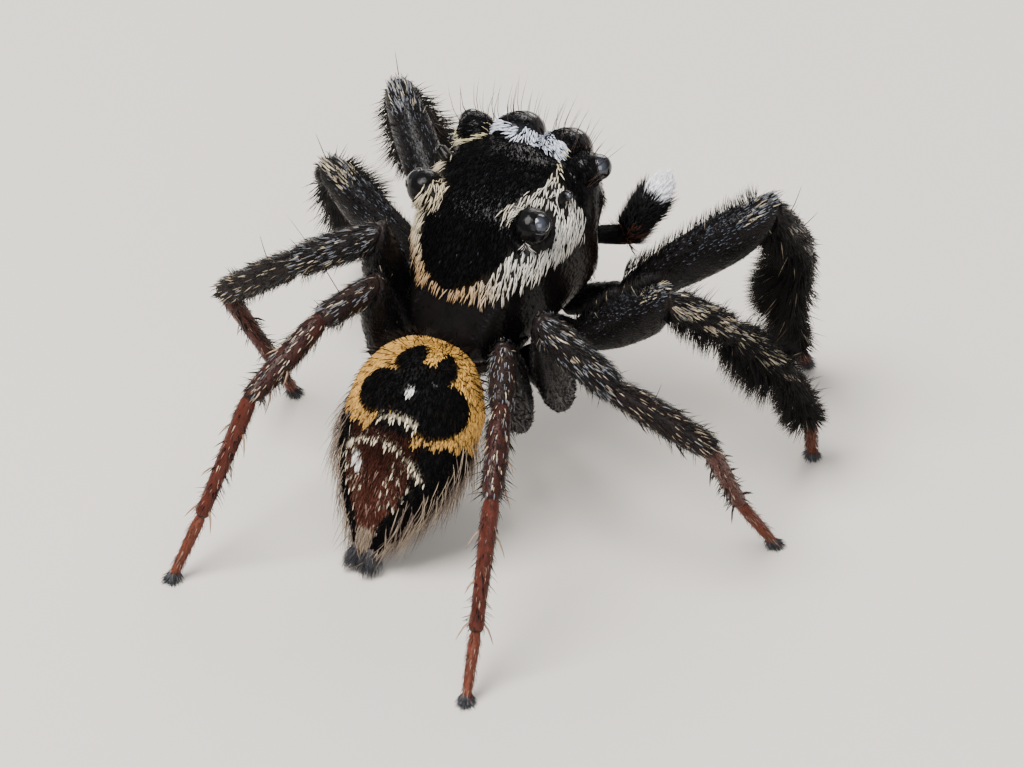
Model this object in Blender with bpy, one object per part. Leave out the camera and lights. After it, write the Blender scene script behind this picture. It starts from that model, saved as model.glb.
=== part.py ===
"""Male jumping spider, Corythalia brevispina, as a life-size still model.

The animal stands with its nose up, its abdomen bent down so that the spinnerets
touch the floor, and its eight legs planted as in life. It faces -Y with +Z up.
Sizes are in millimetres and MM turns them into metres. Places are first worked
out in the animal's own axes: right, forward and up.
"""
import math
import random

import bmesh
import bpy
from mathutils import Matrix, Vector

MM = 0.001
GAP = 0.02              # space left between pieces that touch
MODEL_NAME = "jumping_spider"

# Stance of the head: the point midway between the two rear eyes
HEAD_RIGHT = -0.19
HEAD_FORWARD = 0.08
HEAD_HEIGHT = 2.83
NOSE_UP = 14            # degrees
RIGHT_SIDE_UP = 2       # degrees

# Leg joints, lengths in mm: femur, patella, tibia, metatarsus, tarsus
LEG_LENGTHS = {
    1: (1.67, 0.79, 0.81, 0.78, 0.49),
    2: (1.39, 0.73, 0.81, 0.83, 0.51),
    3: (1.66, 0.81, 1.05, 1.09, 0.60),
    4: (1.50, 0.61, 0.99, 1.24, 0.63),
}
LEG_RADII = {
    1: (0.205, 0.145, 0.125, 0.088, 0.060),
    2: (0.185, 0.135, 0.118, 0.082, 0.056),
    3: (0.190, 0.150, 0.125, 0.082, 0.055),
    4: (0.170, 0.125, 0.105, 0.076, 0.052),
}
# Direction of each joint in degrees: azimuth from straight out to the side
# towards the front, then elevation above level. The tarsus finds the floor.
LEG_DIRECTIONS = {
    ("right", 1): ((32, 35), (82, -57), (139, -68), (118, -69), 103),
    ("right", 2): ((-7, 39), (48, -36), (54, -46), (87, -64), 110),
    ("right", 3): ((-62, 55), (3, -29), (20, -29), (93, -60), 46),
    ("right", 4): ((-66, 56), (-57, -15), (-61, -23), (-71, -64), -68),
    ("left", 1): ((35, 29), (63, -46), (70, -53), (86, -67), 89),
    ("left", 2): ((0, 34), (56, -41), (70, -47), (76, -56), 73),
    ("left", 3): ((-99, 64), (-28, -25), (0, -39), (109, -62), 100),
    ("left", 4): ((-101, 66), (-73, -10), (-74, -31), (-70, -63), -78),
}
# Hip of each leg in the head's axes: out to the side, forward, up
LEG_HIPS = {
    ("right", 1): (0.90, 0.70, -1.46),
    ("right", 2): (0.80, 0.10, -1.50),
    ("right", 3): (0.84, -0.42, -1.775),
    ("right", 4): (0.68, -0.84, -1.755),
    ("left", 1): (0.94, 0.52, -1.46),
    ("left", 2): (0.90, 0.10, -1.48),
    ("left", 3): (0.90, -0.36, -1.715),
    ("left", 4): (0.66, -0.88, -1.735),
}
COXA_INNER = 0.36       # distance of a coxa's inner face from the middle plane
COXA_FORWARD = {1: 0.42, 2: 0.08, 3: -0.26, 4: -0.60}
COXA_RADIUS = 0.150
COXA_LEVEL = -1.56
JOINTS = ("femur", "patella", "tibia", "metatarsus", "tarsus")
# Radius along each joint: place from 0 to 1 and share of the joint's radius
JOINT_PROFILES = {
    "femur": ((0.0, 0.70), (0.14, 0.86), (0.38, 1.0), (0.66, 1.0), (0.88, 0.88), (1.0, 0.74)),
    "patella": ((0.0, 0.80), (0.22, 1.0), (0.72, 1.0), (1.0, 0.82)),
    "tibia": ((0.0, 0.76), (0.18, 0.94), (0.5, 1.0), (0.84, 0.90), (1.0, 0.74)),
    "metatarsus": ((0.0, 0.90), (0.14, 1.0), (0.5, 0.90), (0.88, 0.80), (1.0, 0.84)),
    "tarsus": ((0.0, 0.90), (0.2, 1.0), (0.6, 0.90), (1.0, 0.72)),
}
JOINT_DEPTH = {"femur": 1.18, "patella": 1.0, "tibia": 1.05, "metatarsus": 1.0, "tarsus": 1.0}
FEMUR_KEEL = {1: 0.06, 2: 0.06, 3: 0.12, 4: 0.10}   # how deep the underside hangs
LEG_SIDES = 8
FOOT_PAD_RADIUS = 0.085
FOOT_PAD_CENTRE_HEIGHT = 0.050


def clear_scene():
    for old in list(bpy.data.objects):
        bpy.data.objects.remove(old, do_unlink=True)


def new_collection(name):
    collection = bpy.data.collections.new(name)
    bpy.context.scene.collection.children.link(collection)
    return collection


def principled(name, colour, roughness, metallic=0.0):
    finish = bpy.data.materials.new(name)
    finish.use_nodes = True
    shader = finish.node_tree.nodes["Principled BSDF"]
    shader.inputs["Base Color"].default_value = (*colour, 1.0)
    shader.inputs["Roughness"].default_value = roughness
    shader.inputs["Metallic"].default_value = metallic
    return finish


def to_world(point):
    """Animal's right, forward, up in mm to metres, the animal facing -Y."""
    return Vector((-point.x, -point.y, point.z)) * MM


def add_node(name, bm, origin, colour, roughness, collection):
    """Make an object from a bmesh in animal millimetres, placed at its origin."""
    bmesh.ops.recalc_face_normals(bm, faces=bm.faces)
    place = to_world(origin)
    for vertex in bm.verts:
        vertex.co = to_world(vertex.co) - place
    mesh = bpy.data.meshes.new(name)
    bm.to_mesh(mesh)
    bm.free()
    mesh.shade_smooth()
    mesh.set_sharp_from_angle(angle=math.radians(40))
    mesh.materials.append(principled(name + "_finish", colour, roughness))
    piece = bpy.data.objects.new(name, mesh)
    piece.location = place
    collection.objects.link(piece)
    return piece


def loft(bm, rings):
    """Bridge closed rings of equal count with quads and close both ends."""
    loops = [[bm.verts.new(point) for point in ring] for ring in rings]
    count = len(loops[0])
    for low, high in zip(loops, loops[1:]):
        for i in range(count):
            j = (i + 1) % count
            bm.faces.new((low[i], low[j], high[j], high[i]))
    bm.faces.new(list(reversed(loops[0])))
    bm.faces.new(loops[-1])
    return loops


def superellipse(angle, power):
    """Point of a rounded square of half size one, at an angle round it."""
    c, s = math.cos(angle), math.sin(angle)
    return (math.copysign(abs(c) ** (2 / power), c), math.copysign(abs(s) ** (2 / power), s))


def direction(side, azimuth, elevation):
    """Unit vector from an azimuth off the side and an elevation in degrees."""
    a, e = math.radians(azimuth), math.radians(elevation)
    out = math.cos(a) * math.cos(e)
    return Vector((out if side == "right" else -out, math.sin(a) * math.cos(e), math.sin(e)))


def frame_about(axis):
    """Two vectors square to the axis: sideways and towards the back of the limb."""
    sideways = axis.cross(Vector((0, 0, 1))).normalized()
    return sideways, sideways.cross(axis).normalized()


def tube_ring(centre, axis, sideways, dorsal, cut, wide, deep, keel=0.0, sides=LEG_SIDES):
    """Ring of a limb, slid along the axis so that it lies in the plane cut."""
    ring = []
    for i in range(sides):
        angle = math.tau * (i + 0.5) / sides
        c, s = math.cos(angle), math.sin(angle)
        under = keel * max(0.0, -s) ** 1.5
        offset = sideways * (wide * c) + dorsal * (deep * s - under)
        ring.append(centre + offset - axis * (offset.dot(cut) / axis.dot(cut)))
    return ring


def tube_rings(start, end, start_cut, end_cut, radius, profile, depth=1.0, keel=0.0,
               start_gap=GAP / 2, end_gap=GAP / 2, frame=None):
    """Rings of one straight limb joint whose ends lie in their mitre planes."""
    axis = (end - start).normalized()
    length = (end - start).length
    sideways, dorsal = frame or frame_about(axis)
    first = start_gap / axis.dot(start_cut)
    last = length - end_gap / axis.dot(end_cut)
    reach = max(0.22 * length, 2.0 * radius)
    rings = []
    for place, share in profile:
        along = first + (last - first) * place
        near_start = max(0.0, 1.0 - (along - first) / reach)
        near_end = max(0.0, 1.0 - (last - along) / reach)
        cut = axis + (start_cut - axis) * near_start + (end_cut - axis) * near_end
        swell = math.sin(math.pi * place) if keel else 0.0
        rings.append(tube_ring(start + axis * along, axis, sideways, dorsal, cut.normalized(),
                               radius * share, radius * share * depth, keel * swell))
    return rings


clear_scene()
spider = new_collection(MODEL_NAME)
cutters = new_collection(MODEL_NAME + "_cutters")


# Head and thorax
HEAD_PLACE = Vector((HEAD_RIGHT, HEAD_FORWARD, HEAD_HEIGHT))
HEAD_TURN = (Matrix.Rotation(math.radians(NOSE_UP), 3, "X")
             @ Matrix.Rotation(math.radians(-RIGHT_SIDE_UP), 3, "Y"))


def head_point(out, forward, up):
    """Place given in the head's axes to the animal's axes."""
    return HEAD_PLACE + HEAD_TURN @ Vector((out, forward, up))


# Carapace stations: forward, half width, top, bottom, squareness of the section
CARAPACE_STATIONS = (
    (-0.98, 0.22, -0.90, -1.14, 2.4),
    (-0.92, 0.33, -0.84, -1.22, 2.4),
    (-0.80, 0.45, -0.72, -1.31, 2.6),
    (-0.62, 0.56, -0.54, -1.36, 2.8),
    (-0.38, 0.66, -0.28, -1.38, 3.0),
    (-0.15, 0.74, -0.05, -1.38, 3.2),
    (0.10, 0.79, 0.06, -1.38, 3.4),
    (0.35, 0.82, 0.09, -1.38, 3.4),
    (0.56, 0.83, 0.08, -1.38, 3.2),
    (0.66, 0.82, 0.06, -0.86, 3.2),
    (0.82, 0.79, 0.02, -0.70, 3.0),
    (0.96, 0.70, -0.05, -0.66, 2.8),
    (1.06, 0.56, -0.13, -0.60, 2.6),
)
CARAPACE_SIDES = 20
# Rear eye, front side eye, front middle eye and small eye: place and radius
EYE_PLACES = {
    "rear": ((0.68, 0.0, 0.0), 0.115, (0.60, -0.01, -0.04), 0.185),
    "small": ((0.735, 0.43, 0.01), 0.040, (0.70, 0.43, 0.0), 0.062),
    "front_side": ((0.72, 0.93, -0.08), 0.125, (0.62, 0.86, -0.09), 0.185),
    "front_middle": ((0.265, 1.10, -0.20), 0.215, (0.265, 1.00, -0.17), 0.260),
}
EYE_SEGMENTS = {"rear": (12, 8), "small": (8, 6), "front_side": (12, 8), "front_middle": (14, 10)}
BLACK = (0.012, 0.011, 0.012)


def sphere(bm, centre, radius, segments, rings):
    made = bmesh.ops.create_uvsphere(bm, u_segments=segments, v_segments=rings, radius=radius)
    bmesh.ops.translate(bm, verts=made["verts"], vec=centre)
    return made["verts"]


def helper_object(name, bm, collection):
    """Temporary closed mesh in animal millimetres turned to metres."""
    bmesh.ops.recalc_face_normals(bm, faces=bm.faces)
    for vertex in bm.verts:
        vertex.co = to_world(vertex.co)
    mesh = bpy.data.meshes.new(name)
    bm.to_mesh(mesh)
    bm.free()
    helper = bpy.data.objects.new(name, mesh)
    helper.hide_render = True
    helper.display_type = "WIRE"
    collection.objects.link(helper)
    return helper


def apply_boolean(piece, collection, operation):
    """Join or cut a piece with a collection's meshes, then remove them."""
    boolean = piece.modifiers.new("boolean", "BOOLEAN")
    boolean.operation = operation
    boolean.solver = "EXACT"
    boolean.operand_type = "COLLECTION"
    boolean.collection = collection
    result = bpy.data.meshes.new_from_object(
        piece.evaluated_get(bpy.context.evaluated_depsgraph_get()))
    piece.modifiers.remove(boolean)
    piece.data = result
    for helper in list(collection.objects):
        bpy.data.objects.remove(helper, do_unlink=True)
    bpy.data.collections.remove(collection)
    keep_largest(piece)


def keep_largest(piece):
    """Keep only the largest closed surface of a piece."""
    bm = bmesh.new()
    bm.from_mesh(piece.data)
    left = set(bm.verts)
    groups = []
    while left:
        group = {left.pop()}
        edge = list(group)
        while edge:
            vertex = edge.pop()
            for link in vertex.link_edges:
                other = link.other_vert(vertex)
                if other in left:
                    left.remove(other)
                    group.add(other)
                    edge.append(other)
        groups.append(group)
    groups.sort(key=len)
    for group in groups[:-1]:
        bmesh.ops.delete(bm, geom=list(group), context="VERTS")
    bm.to_mesh(piece.data)
    bm.free()


def fuse(piece, builders, name):
    """Join closed shapes to a piece; each builder adds one shape to a bmesh."""
    group = bpy.data.collections.new(name)
    cutters.children.link(group)
    for i, build in enumerate(builders):
        bm = bmesh.new()
        build(bm)
        helper_object(f"{name}_{i}", bm, group)
    apply_boolean(piece, group, "UNION")


def carve(piece, builders, name):
    """Cut closed shapes out of a piece."""
    group = bpy.data.collections.new(name)
    cutters.children.link(group)
    for i, build in enumerate(builders):
        bm = bmesh.new()
        build(bm)
        helper_object(f"{name}_{i}", bm, group)
    apply_boolean(piece, group, "DIFFERENCE")


# Locks and spines: length, width, thickness in mm, and how far the root is sunk
LOCK_SIZES = {
    "fringe_long": (0.37, 0.125, 0.045, 0.04),
    "fringe_middle": (0.25, 0.110, 0.042, 0.04),
    "fringe_short": (0.17, 0.095, 0.038, 0.035),
    "flank_long": (0.30, 0.110, 0.040, 0.05),
    "flank_short": (0.22, 0.100, 0.038, 0.05),
    "brush": (0.17, 0.085, 0.050, 0.04),
    "bristle_long": (0.40, 0.030, 0.030, 0.05),
    "bristle_short": (0.26, 0.028, 0.028, 0.05),
    "spine": (0.26, 0.034, 0.034, 0.04),
    "spine_small": (0.18, 0.030, 0.030, 0.035),
    "seta": (0.98, 0.030, 0.030, 0.05),
}
LOCK_WAIST = 0.55       # where along its length a lock is widest
chance = random.Random(12)


def lock(bm, root, way, broad, size, droop):
    """Flat tapered lock: a narrow sunk root, its widest place, a point."""
    length, width, thick, sunk = LOCK_SIZES[size]
    way = way.normalized()
    broad = (broad - way * broad.dot(way)).normalized()
    across = way.cross(broad)
    waist = root + way * (length * LOCK_WAIST) + droop * (length * 0.1)
    rings = []
    for centre, share in ((root - way * sunk, 0.7), (waist, 1.0)):
        rings.append([bm.verts.new(centre + broad * (b * width * share / 2)
                                   + across * (a * thick * share / 2))
                      for b, a in ((1, 0), (0, 1), (-1, 0), (0, -1))])
    tip = bm.verts.new(root + way * length + droop * (length * 0.3))
    bm.faces.new(list(reversed(rings[0])))
    for i in range(4):
        j = (i + 1) % 4
        bm.faces.new((rings[0][i], rings[0][j], rings[1][j], rings[1][i]))
        bm.faces.new((rings[1][i], rings[1][j], tip))


def grow(piece, locks, name):
    """Join locks to a piece; each is root, way, broad direction, size, droop."""
    fuse(piece, [lambda b, one=one: lock(b, *one) for one in locks], name)


def carapace_ring(forward, half_width, top, bottom, power):
    middle = (top + bottom) / 2
    half_height = (top - bottom) / 2
    ring = []
    for i in range(CARAPACE_SIDES):
        x, z = superellipse(math.tau * (i + 0.5) / CARAPACE_SIDES, power)
        ring.append(head_point(half_width * x, forward, middle + half_height * z))
    return ring


def make_carapace():
    bm = bmesh.new()
    loft(bm, [carapace_ring(*station) for station in CARAPACE_STATIONS])
    piece = add_node("carapace", bm, HEAD_PLACE, BLACK, 0.35, spider)
    mounds = []
    sockets = []
    for kind, (lens, radius, mound, mound_radius) in EYE_PLACES.items():
        for sign in (1, -1):
            at = head_point(sign * mound[0], mound[1], mound[2])
            eye_at = head_point(sign * lens[0], lens[1], lens[2])
            count = EYE_SEGMENTS[kind]
            mounds.append(lambda b, at=at, r=mound_radius: sphere(b, at, r, 12, 8))
            sockets.append(lambda b, at=eye_at, r=radius + GAP, n=count: sphere(b, at, r, *n))
    fuse(piece, mounds, "eye_mounds")
    grow(piece, head_bristles(), "head_bristles")
    carve(piece, sockets, "eye_sockets")


# Long bristles over the front eyes and beside the side eyes: out, forward, up,
# how far they lean outward and forward, size
HEAD_BRISTLES = (
    (0.0, 1.02, -0.08, 0.0, 0.9, "bristle_short"),
    (0.10, 1.04, -0.04, 0.1, 0.9, "bristle_long"),
    (0.24, 1.04, 0.02, 0.15, 0.7, "bristle_long"),
    (0.38, 1.02, 0.03, 0.2, 0.8, "bristle_short"),
    (0.50, 0.96, -0.02, 0.3, 0.7, "bristle_long"),
    (0.62, 0.90, 0.06, 0.4, 0.6, "bristle_short"),
    (0.74, 0.80, 0.04, 0.6, 0.4, "bristle_long"),
    (0.80, 0.62, 0.0, 0.8, 0.2, "bristle_short"),
)


def head_bristles():
    locks = []
    for out, forward, up, outward, onward, size in HEAD_BRISTLES:
        for sign in (1, -1):
            if out == 0 and sign < 0:
                continue
            root = head_point(sign * out, forward, up)
            way = HEAD_TURN @ Vector((sign * outward, onward, 1.0))
            locks.append((root, way, Vector((1, 0, 0)), size, Vector((0, 0.2, 0))))
    return locks


def make_eyes():
    for kind, (lens, radius, _mound, _mound_radius) in EYE_PLACES.items():
        for side, sign in (("right", 1), ("left", -1)):
            bm = bmesh.new()
            at = head_point(sign * lens[0], lens[1], lens[2])
            sphere(bm, at, radius, *EYE_SEGMENTS[kind])
            add_node(f"eye_{kind}_{side}", bm, at, (0.01, 0.01, 0.014), 0.05, spider)


# Chelicerae: upright jaws under the face
CHELICERA_TOP = -0.72
CHELICERA_FORWARD = 0.93
CHELICERA_OUT = 0.185
# distance down from the top, half width, half depth, forward shift
CHELICERA_STATIONS = (
    (0.0, 0.165, 0.13, 0.0),
    (0.24, 0.172, 0.18, 0.04),
    (0.52, 0.155, 0.17, 0.04),
    (0.74, 0.115, 0.13, 0.0),
    (0.84, 0.060, 0.07, -0.02),
)
CHELICERA_SIDES = 12


def make_chelicerae():
    for side, sign in (("right", 1), ("left", -1)):
        bm = bmesh.new()
        rings = []
        for down, half_width, half_depth, shift in CHELICERA_STATIONS:
            ring = []
            for i in range(CHELICERA_SIDES):
                angle = math.tau * (i + 0.5) / CHELICERA_SIDES
                ring.append(head_point(sign * CHELICERA_OUT + half_width * math.cos(angle),
                                       CHELICERA_FORWARD + shift + half_depth * math.sin(angle),
                                       CHELICERA_TOP - down))
            rings.append(ring)
        loft(bm, rings)
        add_node(f"chelicera_{side}", bm, head_point(sign * CHELICERA_OUT, CHELICERA_FORWARD,
                 CHELICERA_TOP), (0.02, 0.012, 0.010), 0.25, spider)


# Sternum with the labium and maxillae in front of it
STERNUM_TOP = -1.38 - GAP
STERNUM_BOTTOM = -1.70
STERNUM_STATIONS = ((-0.70, 0.10), (-0.58, 0.24), (-0.2, 0.32), (0.2, 0.32), (0.46, 0.25), (0.60, 0.12))
STERNUM_SIDES = 12


def make_sternum():
    bm = bmesh.new()
    middle = (STERNUM_TOP + STERNUM_BOTTOM) / 2
    half_height = (STERNUM_TOP - STERNUM_BOTTOM) / 2
    rings = []
    for forward, half_width in STERNUM_STATIONS:
        ring = []
        for i in range(STERNUM_SIDES):
            x, z = superellipse(math.tau * (i + 0.5) / STERNUM_SIDES, 3.0)
            ring.append(head_point(half_width * x, forward, middle + half_height * z))
        rings.append(ring)
    loft(bm, rings)
    add_node("sternum", bm, head_point(0, 0, middle), (0.03, 0.02, 0.018), 0.5, spider)


# Abdomen: its own axis runs from the waist back and down to the spinnerets
ABDOMEN_FRONT = (0.23, -0.88, 1.87)     # right, forward from the head's place, height
ABDOMEN_TIP = (0.19, -2.12, 0.20)
# distance along as a share, half width, half height above and below the axis
ABDOMEN_STATIONS = (
    (0.0, 0.16, 0.18, 0.10),
    (0.05, 0.37, 0.39, 0.20),
    (0.14, 0.55, 0.56, 0.32),
    (0.28, 0.67, 0.63, 0.44),
    (0.44, 0.69, 0.59, 0.50),
    (0.60, 0.63, 0.49, 0.47),
    (0.75, 0.48, 0.37, 0.36),
    (0.88, 0.31, 0.23, 0.23),
    (0.96, 0.19, 0.14, 0.13),
    (1.0, 0.14, 0.10, 0.09),
)
ABDOMEN_SIDES = 20


def abdomen_frame():
    front = Vector((HEAD_RIGHT + ABDOMEN_FRONT[0], HEAD_FORWARD + ABDOMEN_FRONT[1], ABDOMEN_FRONT[2]))
    tip = Vector((HEAD_RIGHT + ABDOMEN_TIP[0], HEAD_FORWARD + ABDOMEN_TIP[1], ABDOMEN_TIP[2]))
    axis = (tip - front).normalized()
    across = axis.cross(Vector((0, 0, 1))).normalized()
    return front, tip, axis, across, across.cross(axis).normalized()


def loft_abdomen(bm, extra=0.0):
    """The abdomen's egg, its sections made larger by the extra width."""
    front, tip, axis, across, above = abdomen_frame()
    rings = []
    for share, half_width, high, low in ABDOMEN_STATIONS:
        centre = front.lerp(tip, share) + axis * (extra if share == 1 else 0)
        centre -= axis * (extra if share == 0 else 0)
        ring = []
        for i in range(ABDOMEN_SIDES):
            angle = math.tau * (i + 0.5) / ABDOMEN_SIDES
            s = math.sin(angle)
            ring.append(centre + across * ((half_width + extra) * math.cos(angle))
                        + above * (((high if s > 0 else low) + extra) * s))
        rings.append(ring)
    loft(bm, rings)


# Long pale hair of the flanks: share of the length and angle round the axis
FLANK_SHARES = (0.34, 0.44, 0.54, 0.63, 0.72, 0.80, 0.88, 0.95)
FLANK_ANGLES = (-66, -42, -18, 4)
FLANK_STAGGER = 12
FLANK_LOWEST = 0.03     # no hair reaches below this height


def abdomen_section(share):
    """Half width, half height above and below at a share of the length."""
    for before, after in zip(ABDOMEN_STATIONS, ABDOMEN_STATIONS[1:]):
        if share <= after[0]:
            t = (share - before[0]) / (after[0] - before[0])
            return [a + (b - a) * t for a, b in zip(before[1:], after[1:])]
    return ABDOMEN_STATIONS[-1][1:]


def make_abdomen():
    front, tip, axis, across, above = abdomen_frame()
    bm = bmesh.new()
    loft_abdomen(bm)
    piece = add_node("abdomen", bm, front, (0.05, 0.035, 0.03), 0.6, spider)
    locks = []
    for row, share in enumerate(FLANK_SHARES):
        half_width, high, low = abdomen_section(share)
        for angle in FLANK_ANGLES:
            for sign in (1, -1):
                turn = math.radians(angle + (FLANK_STAGGER if row % 2 else 0)
                                    + chance.uniform(-4, 4))
                c, s = sign * math.cos(turn), math.sin(turn)
                height = high if s > 0 else low
                root = front.lerp(tip, share) + across * (half_width * c) + above * (height * s)
                outward = (across * (c * height) + above * (s * half_width)).normalized()
                lie = 1.25 + 0.7 * share + chance.uniform(-0.15, 0.15)
                size = "flank_long" if angle > -50 and share < 0.9 else "flank_short"
                way = (outward + axis * lie).normalized()
                droop = axis * 0.5 + Vector((0, 0, -0.3))
                end = root + way * LOCK_SIZES[size][0] + droop * (LOCK_SIZES[size][0] * 0.3)
                if end.z > FLANK_LOWEST:
                    locks.append((root, way, axis.cross(outward), size, droop))
    grow(piece, locks, "flank_hair")


# Pedicel: the narrow waist between carapace and abdomen
PEDICEL_RADIUS = 0.07
WAIST_FORWARD = -0.98
WAIST_UP = -1.00
PEDICEL_PROFILE = ((0.0, 1.0), (1.0, 1.0))
PEDICEL_ROOT = 0.16     # share of the abdomen's length that the waist aims at


def make_pedicel():
    front, tip, _axis, _across, _above = abdomen_frame()
    waist = head_point(0.0, WAIST_FORWARD, WAIST_UP)
    back = (head_point(0.0, WAIST_FORWARD - 1, WAIST_UP) - waist).normalized()
    root = front.lerp(tip, PEDICEL_ROOT)
    way = (root - waist).normalized()
    bm = bmesh.new()
    loft(bm, tube_rings(waist, root, back, way, PEDICEL_RADIUS, PEDICEL_PROFILE,
                        start_gap=GAP, end_gap=0))
    piece = add_node("pedicel", bm, waist, BLACK, 0.5, spider)
    carve(piece, [lambda b: loft_abdomen(b, GAP)], "waist_cut")


# Spinnerets: a close group of short cones on the abdomen's tip
SPINNERET_LENGTH = 0.20
SPINNERET_RADIUS = 0.115


def make_spinnerets():
    _front, tip, axis, _across, _above = abdomen_frame()
    bm = bmesh.new()
    end = tip + axis * SPINNERET_LENGTH
    rings = tube_rings(tip, end, axis, axis, SPINNERET_RADIUS,
                       ((0.0, 1.0), (0.5, 0.95), (1.0, 0.6)), start_gap=GAP, end_gap=0)
    loft(bm, rings)
    flatten_below_floor(bm)
    add_node("spinnerets", bm, tip, (0.05, 0.05, 0.055), 0.8, spider)


def flatten_below_floor(bm):
    """Cut off what is below the floor and close the cut with a flat."""
    geometry = bm.verts[:] + bm.edges[:] + bm.faces[:]
    cut = bmesh.ops.bisect_plane(bm, geom=geometry, dist=1e-6, plane_co=(0, 0, 0),
                                 plane_no=(0, 0, -1), clear_outer=True)
    rim = [e for e in cut["geom_cut"] if isinstance(e, bmesh.types.BMEdge)]
    if rim:
        bmesh.ops.holes_fill(bm, edges=rim, sides=0)


# Palps: a stalk of short joints and the broad tip with its white tuft
PALP_BASE = (0.50, 0.80, -0.96)
PALP_STALK = (60, -20, 0.42)
PALP_TIP = (50, 56, 0.70)
PALP_RADII = (0.075, 0.110)
PALP_LEFT_TIP = (58, 40, 0.70)
# place along the tip joint, locks round it, how far they stand off, size
PALP_LOCKS = ((0.35, 6, 0.7, "fringe_short"), (0.55, 6, 0.6, "fringe_short"),
              (0.78, 7, 0.35, "brush"), (0.93, 5, 0.15, "brush"))


def make_palps():
    for side in ("right", "left"):
        sign = 1 if side == "right" else -1
        base = head_point(sign * PALP_BASE[0], PALP_BASE[1], PALP_BASE[2])
        azimuth, elevation, length = PALP_STALK
        stalk_way = direction(side, azimuth, elevation)
        bend = base + stalk_way * length
        azimuth, elevation, length = PALP_TIP if side == "right" else PALP_LEFT_TIP
        tip_way = direction(side, azimuth, elevation)
        end = bend + tip_way * length
        cut = (stalk_way + tip_way).normalized()
        bm = bmesh.new()
        loft(bm, tube_rings(base, bend, stalk_way, cut, PALP_RADII[0],
                            ((0.0, 0.9), (0.5, 1.0), (1.0, 0.95)), start_gap=GAP))
        add_node(f"palp_{side}_stalk", bm, base, BLACK, 0.5, spider)
        bm = bmesh.new()
        loft(bm, tube_rings(bend, end, cut, tip_way, PALP_RADII[1],
                            ((0.0, 0.75), (0.25, 0.9), (0.55, 1.0), (0.85, 0.9), (1.0, 0.55)),
                            end_gap=0))
        piece = add_node(f"palp_{side}_tip", bm, bend, BLACK, 0.6, spider)
        sideways, dorsal = frame_about(tip_way)
        locks = []
        for place, count, lean, size in PALP_LOCKS:
            for i in range(count):
                angle = math.tau * (i + place) / count
                outward = sideways * math.cos(angle) + dorsal * math.sin(angle)
                root = bend + tip_way * (length * place) + outward * (PALP_RADII[1] * 0.7)
                locks.append((root, tip_way + outward * lean, tip_way.cross(outward), size,
                              outward * 0.1))
        grow(piece, locks, f"palp_brush_{side}")


# Legs
LEG_COLOURS = {
    "femur": (0.012, 0.011, 0.012),
    "patella": (0.035, 0.025, 0.023),
    "tibia": (0.05, 0.026, 0.02),
    "metatarsus": (0.16, 0.035, 0.018),
    "tarsus": (0.19, 0.05, 0.025),
}


def leg_points(side, number):
    """Coxa's inner face, hip, knee and the other joints down to the foot."""
    sign = 1 if side == "right" else -1
    out, forward, up = LEG_HIPS[side, number]
    points = [head_point(sign * COXA_INNER, COXA_FORWARD[number], COXA_LEVEL),
              head_point(sign * out, forward, up)]
    lengths = LEG_LENGTHS[number]
    for (azimuth, elevation), length in zip(LEG_DIRECTIONS[side, number][:4], lengths):
        points.append(points[-1] + direction(side, azimuth, elevation) * length)
    drop = points[-1].z - FOOT_PAD_CENTRE_HEIGHT
    slope = -math.degrees(math.asin(min(0.98, drop / lengths[4])))
    points.append(points[-1] + direction(side, LEG_DIRECTIONS[side, number][4], slope) * lengths[4])
    return points


# Locks under the front legs: places along the joint, angle off the underside,
# lean towards the foot, size
LEG_FRINGES = {
    "patella": ((0.34, 0.50, 0.66, 0.82), (-28, 28), 0.35, "fringe_short"),
    "tibia": ((0.14, 0.30, 0.46, 0.62, 0.78, 0.88), (-24, 24), 0.30, "fringe_long"),
    "metatarsus": ((0.16, 0.34, 0.52, 0.70), (-24, 24), 0.45, "fringe_short"),
}
# Spines of the hind legs: place along the joint, angle off the top, size
LEG_SPINES = {
    "tibia": ((0.30, 90, "spine_small"), (0.55, -90, "spine_small"), (0.68, 125, "spine"),
              (0.80, -125, "spine"), (0.86, 165, "spine_small"), (0.86, -165, "spine_small")),
    "metatarsus": ((0.22, 95, "spine"), (0.25, -95, "spine"), (0.45, 150, "spine_small"),
                   (0.55, -150, "spine_small"), (0.92, 90, "spine"), (0.92, -90, "spine"),
                   (0.92, 165, "spine_small")),
}
SPINE_LEAN = 1.5
# Short locks that roughen the back of the front femora
FEMUR_LOCKS = ((0.30, 0), (0.42, 14), (0.54, -12), (0.66, 10), (0.76, -8), (0.84, 6))


def limb_place(start, end, body, radius, share, angle):
    """Root of a lock on a limb, its outward direction and the limb's axis.

    The angle is measured off the limb's back, the side turned away from the body.
    """
    axis = (end - start).normalized()
    sideways, dorsal = frame_about(axis)
    away = (start + end) / 2 - body
    away -= axis * away.dot(axis)
    if away.length > radius:
        dorsal = away.normalized()
        sideways = axis.cross(dorsal)
    turn = math.radians(angle)
    outward = dorsal * math.cos(turn) + sideways * math.sin(turn)
    return start.lerp(end, share) + outward * (radius * 0.85), outward, axis


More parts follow.
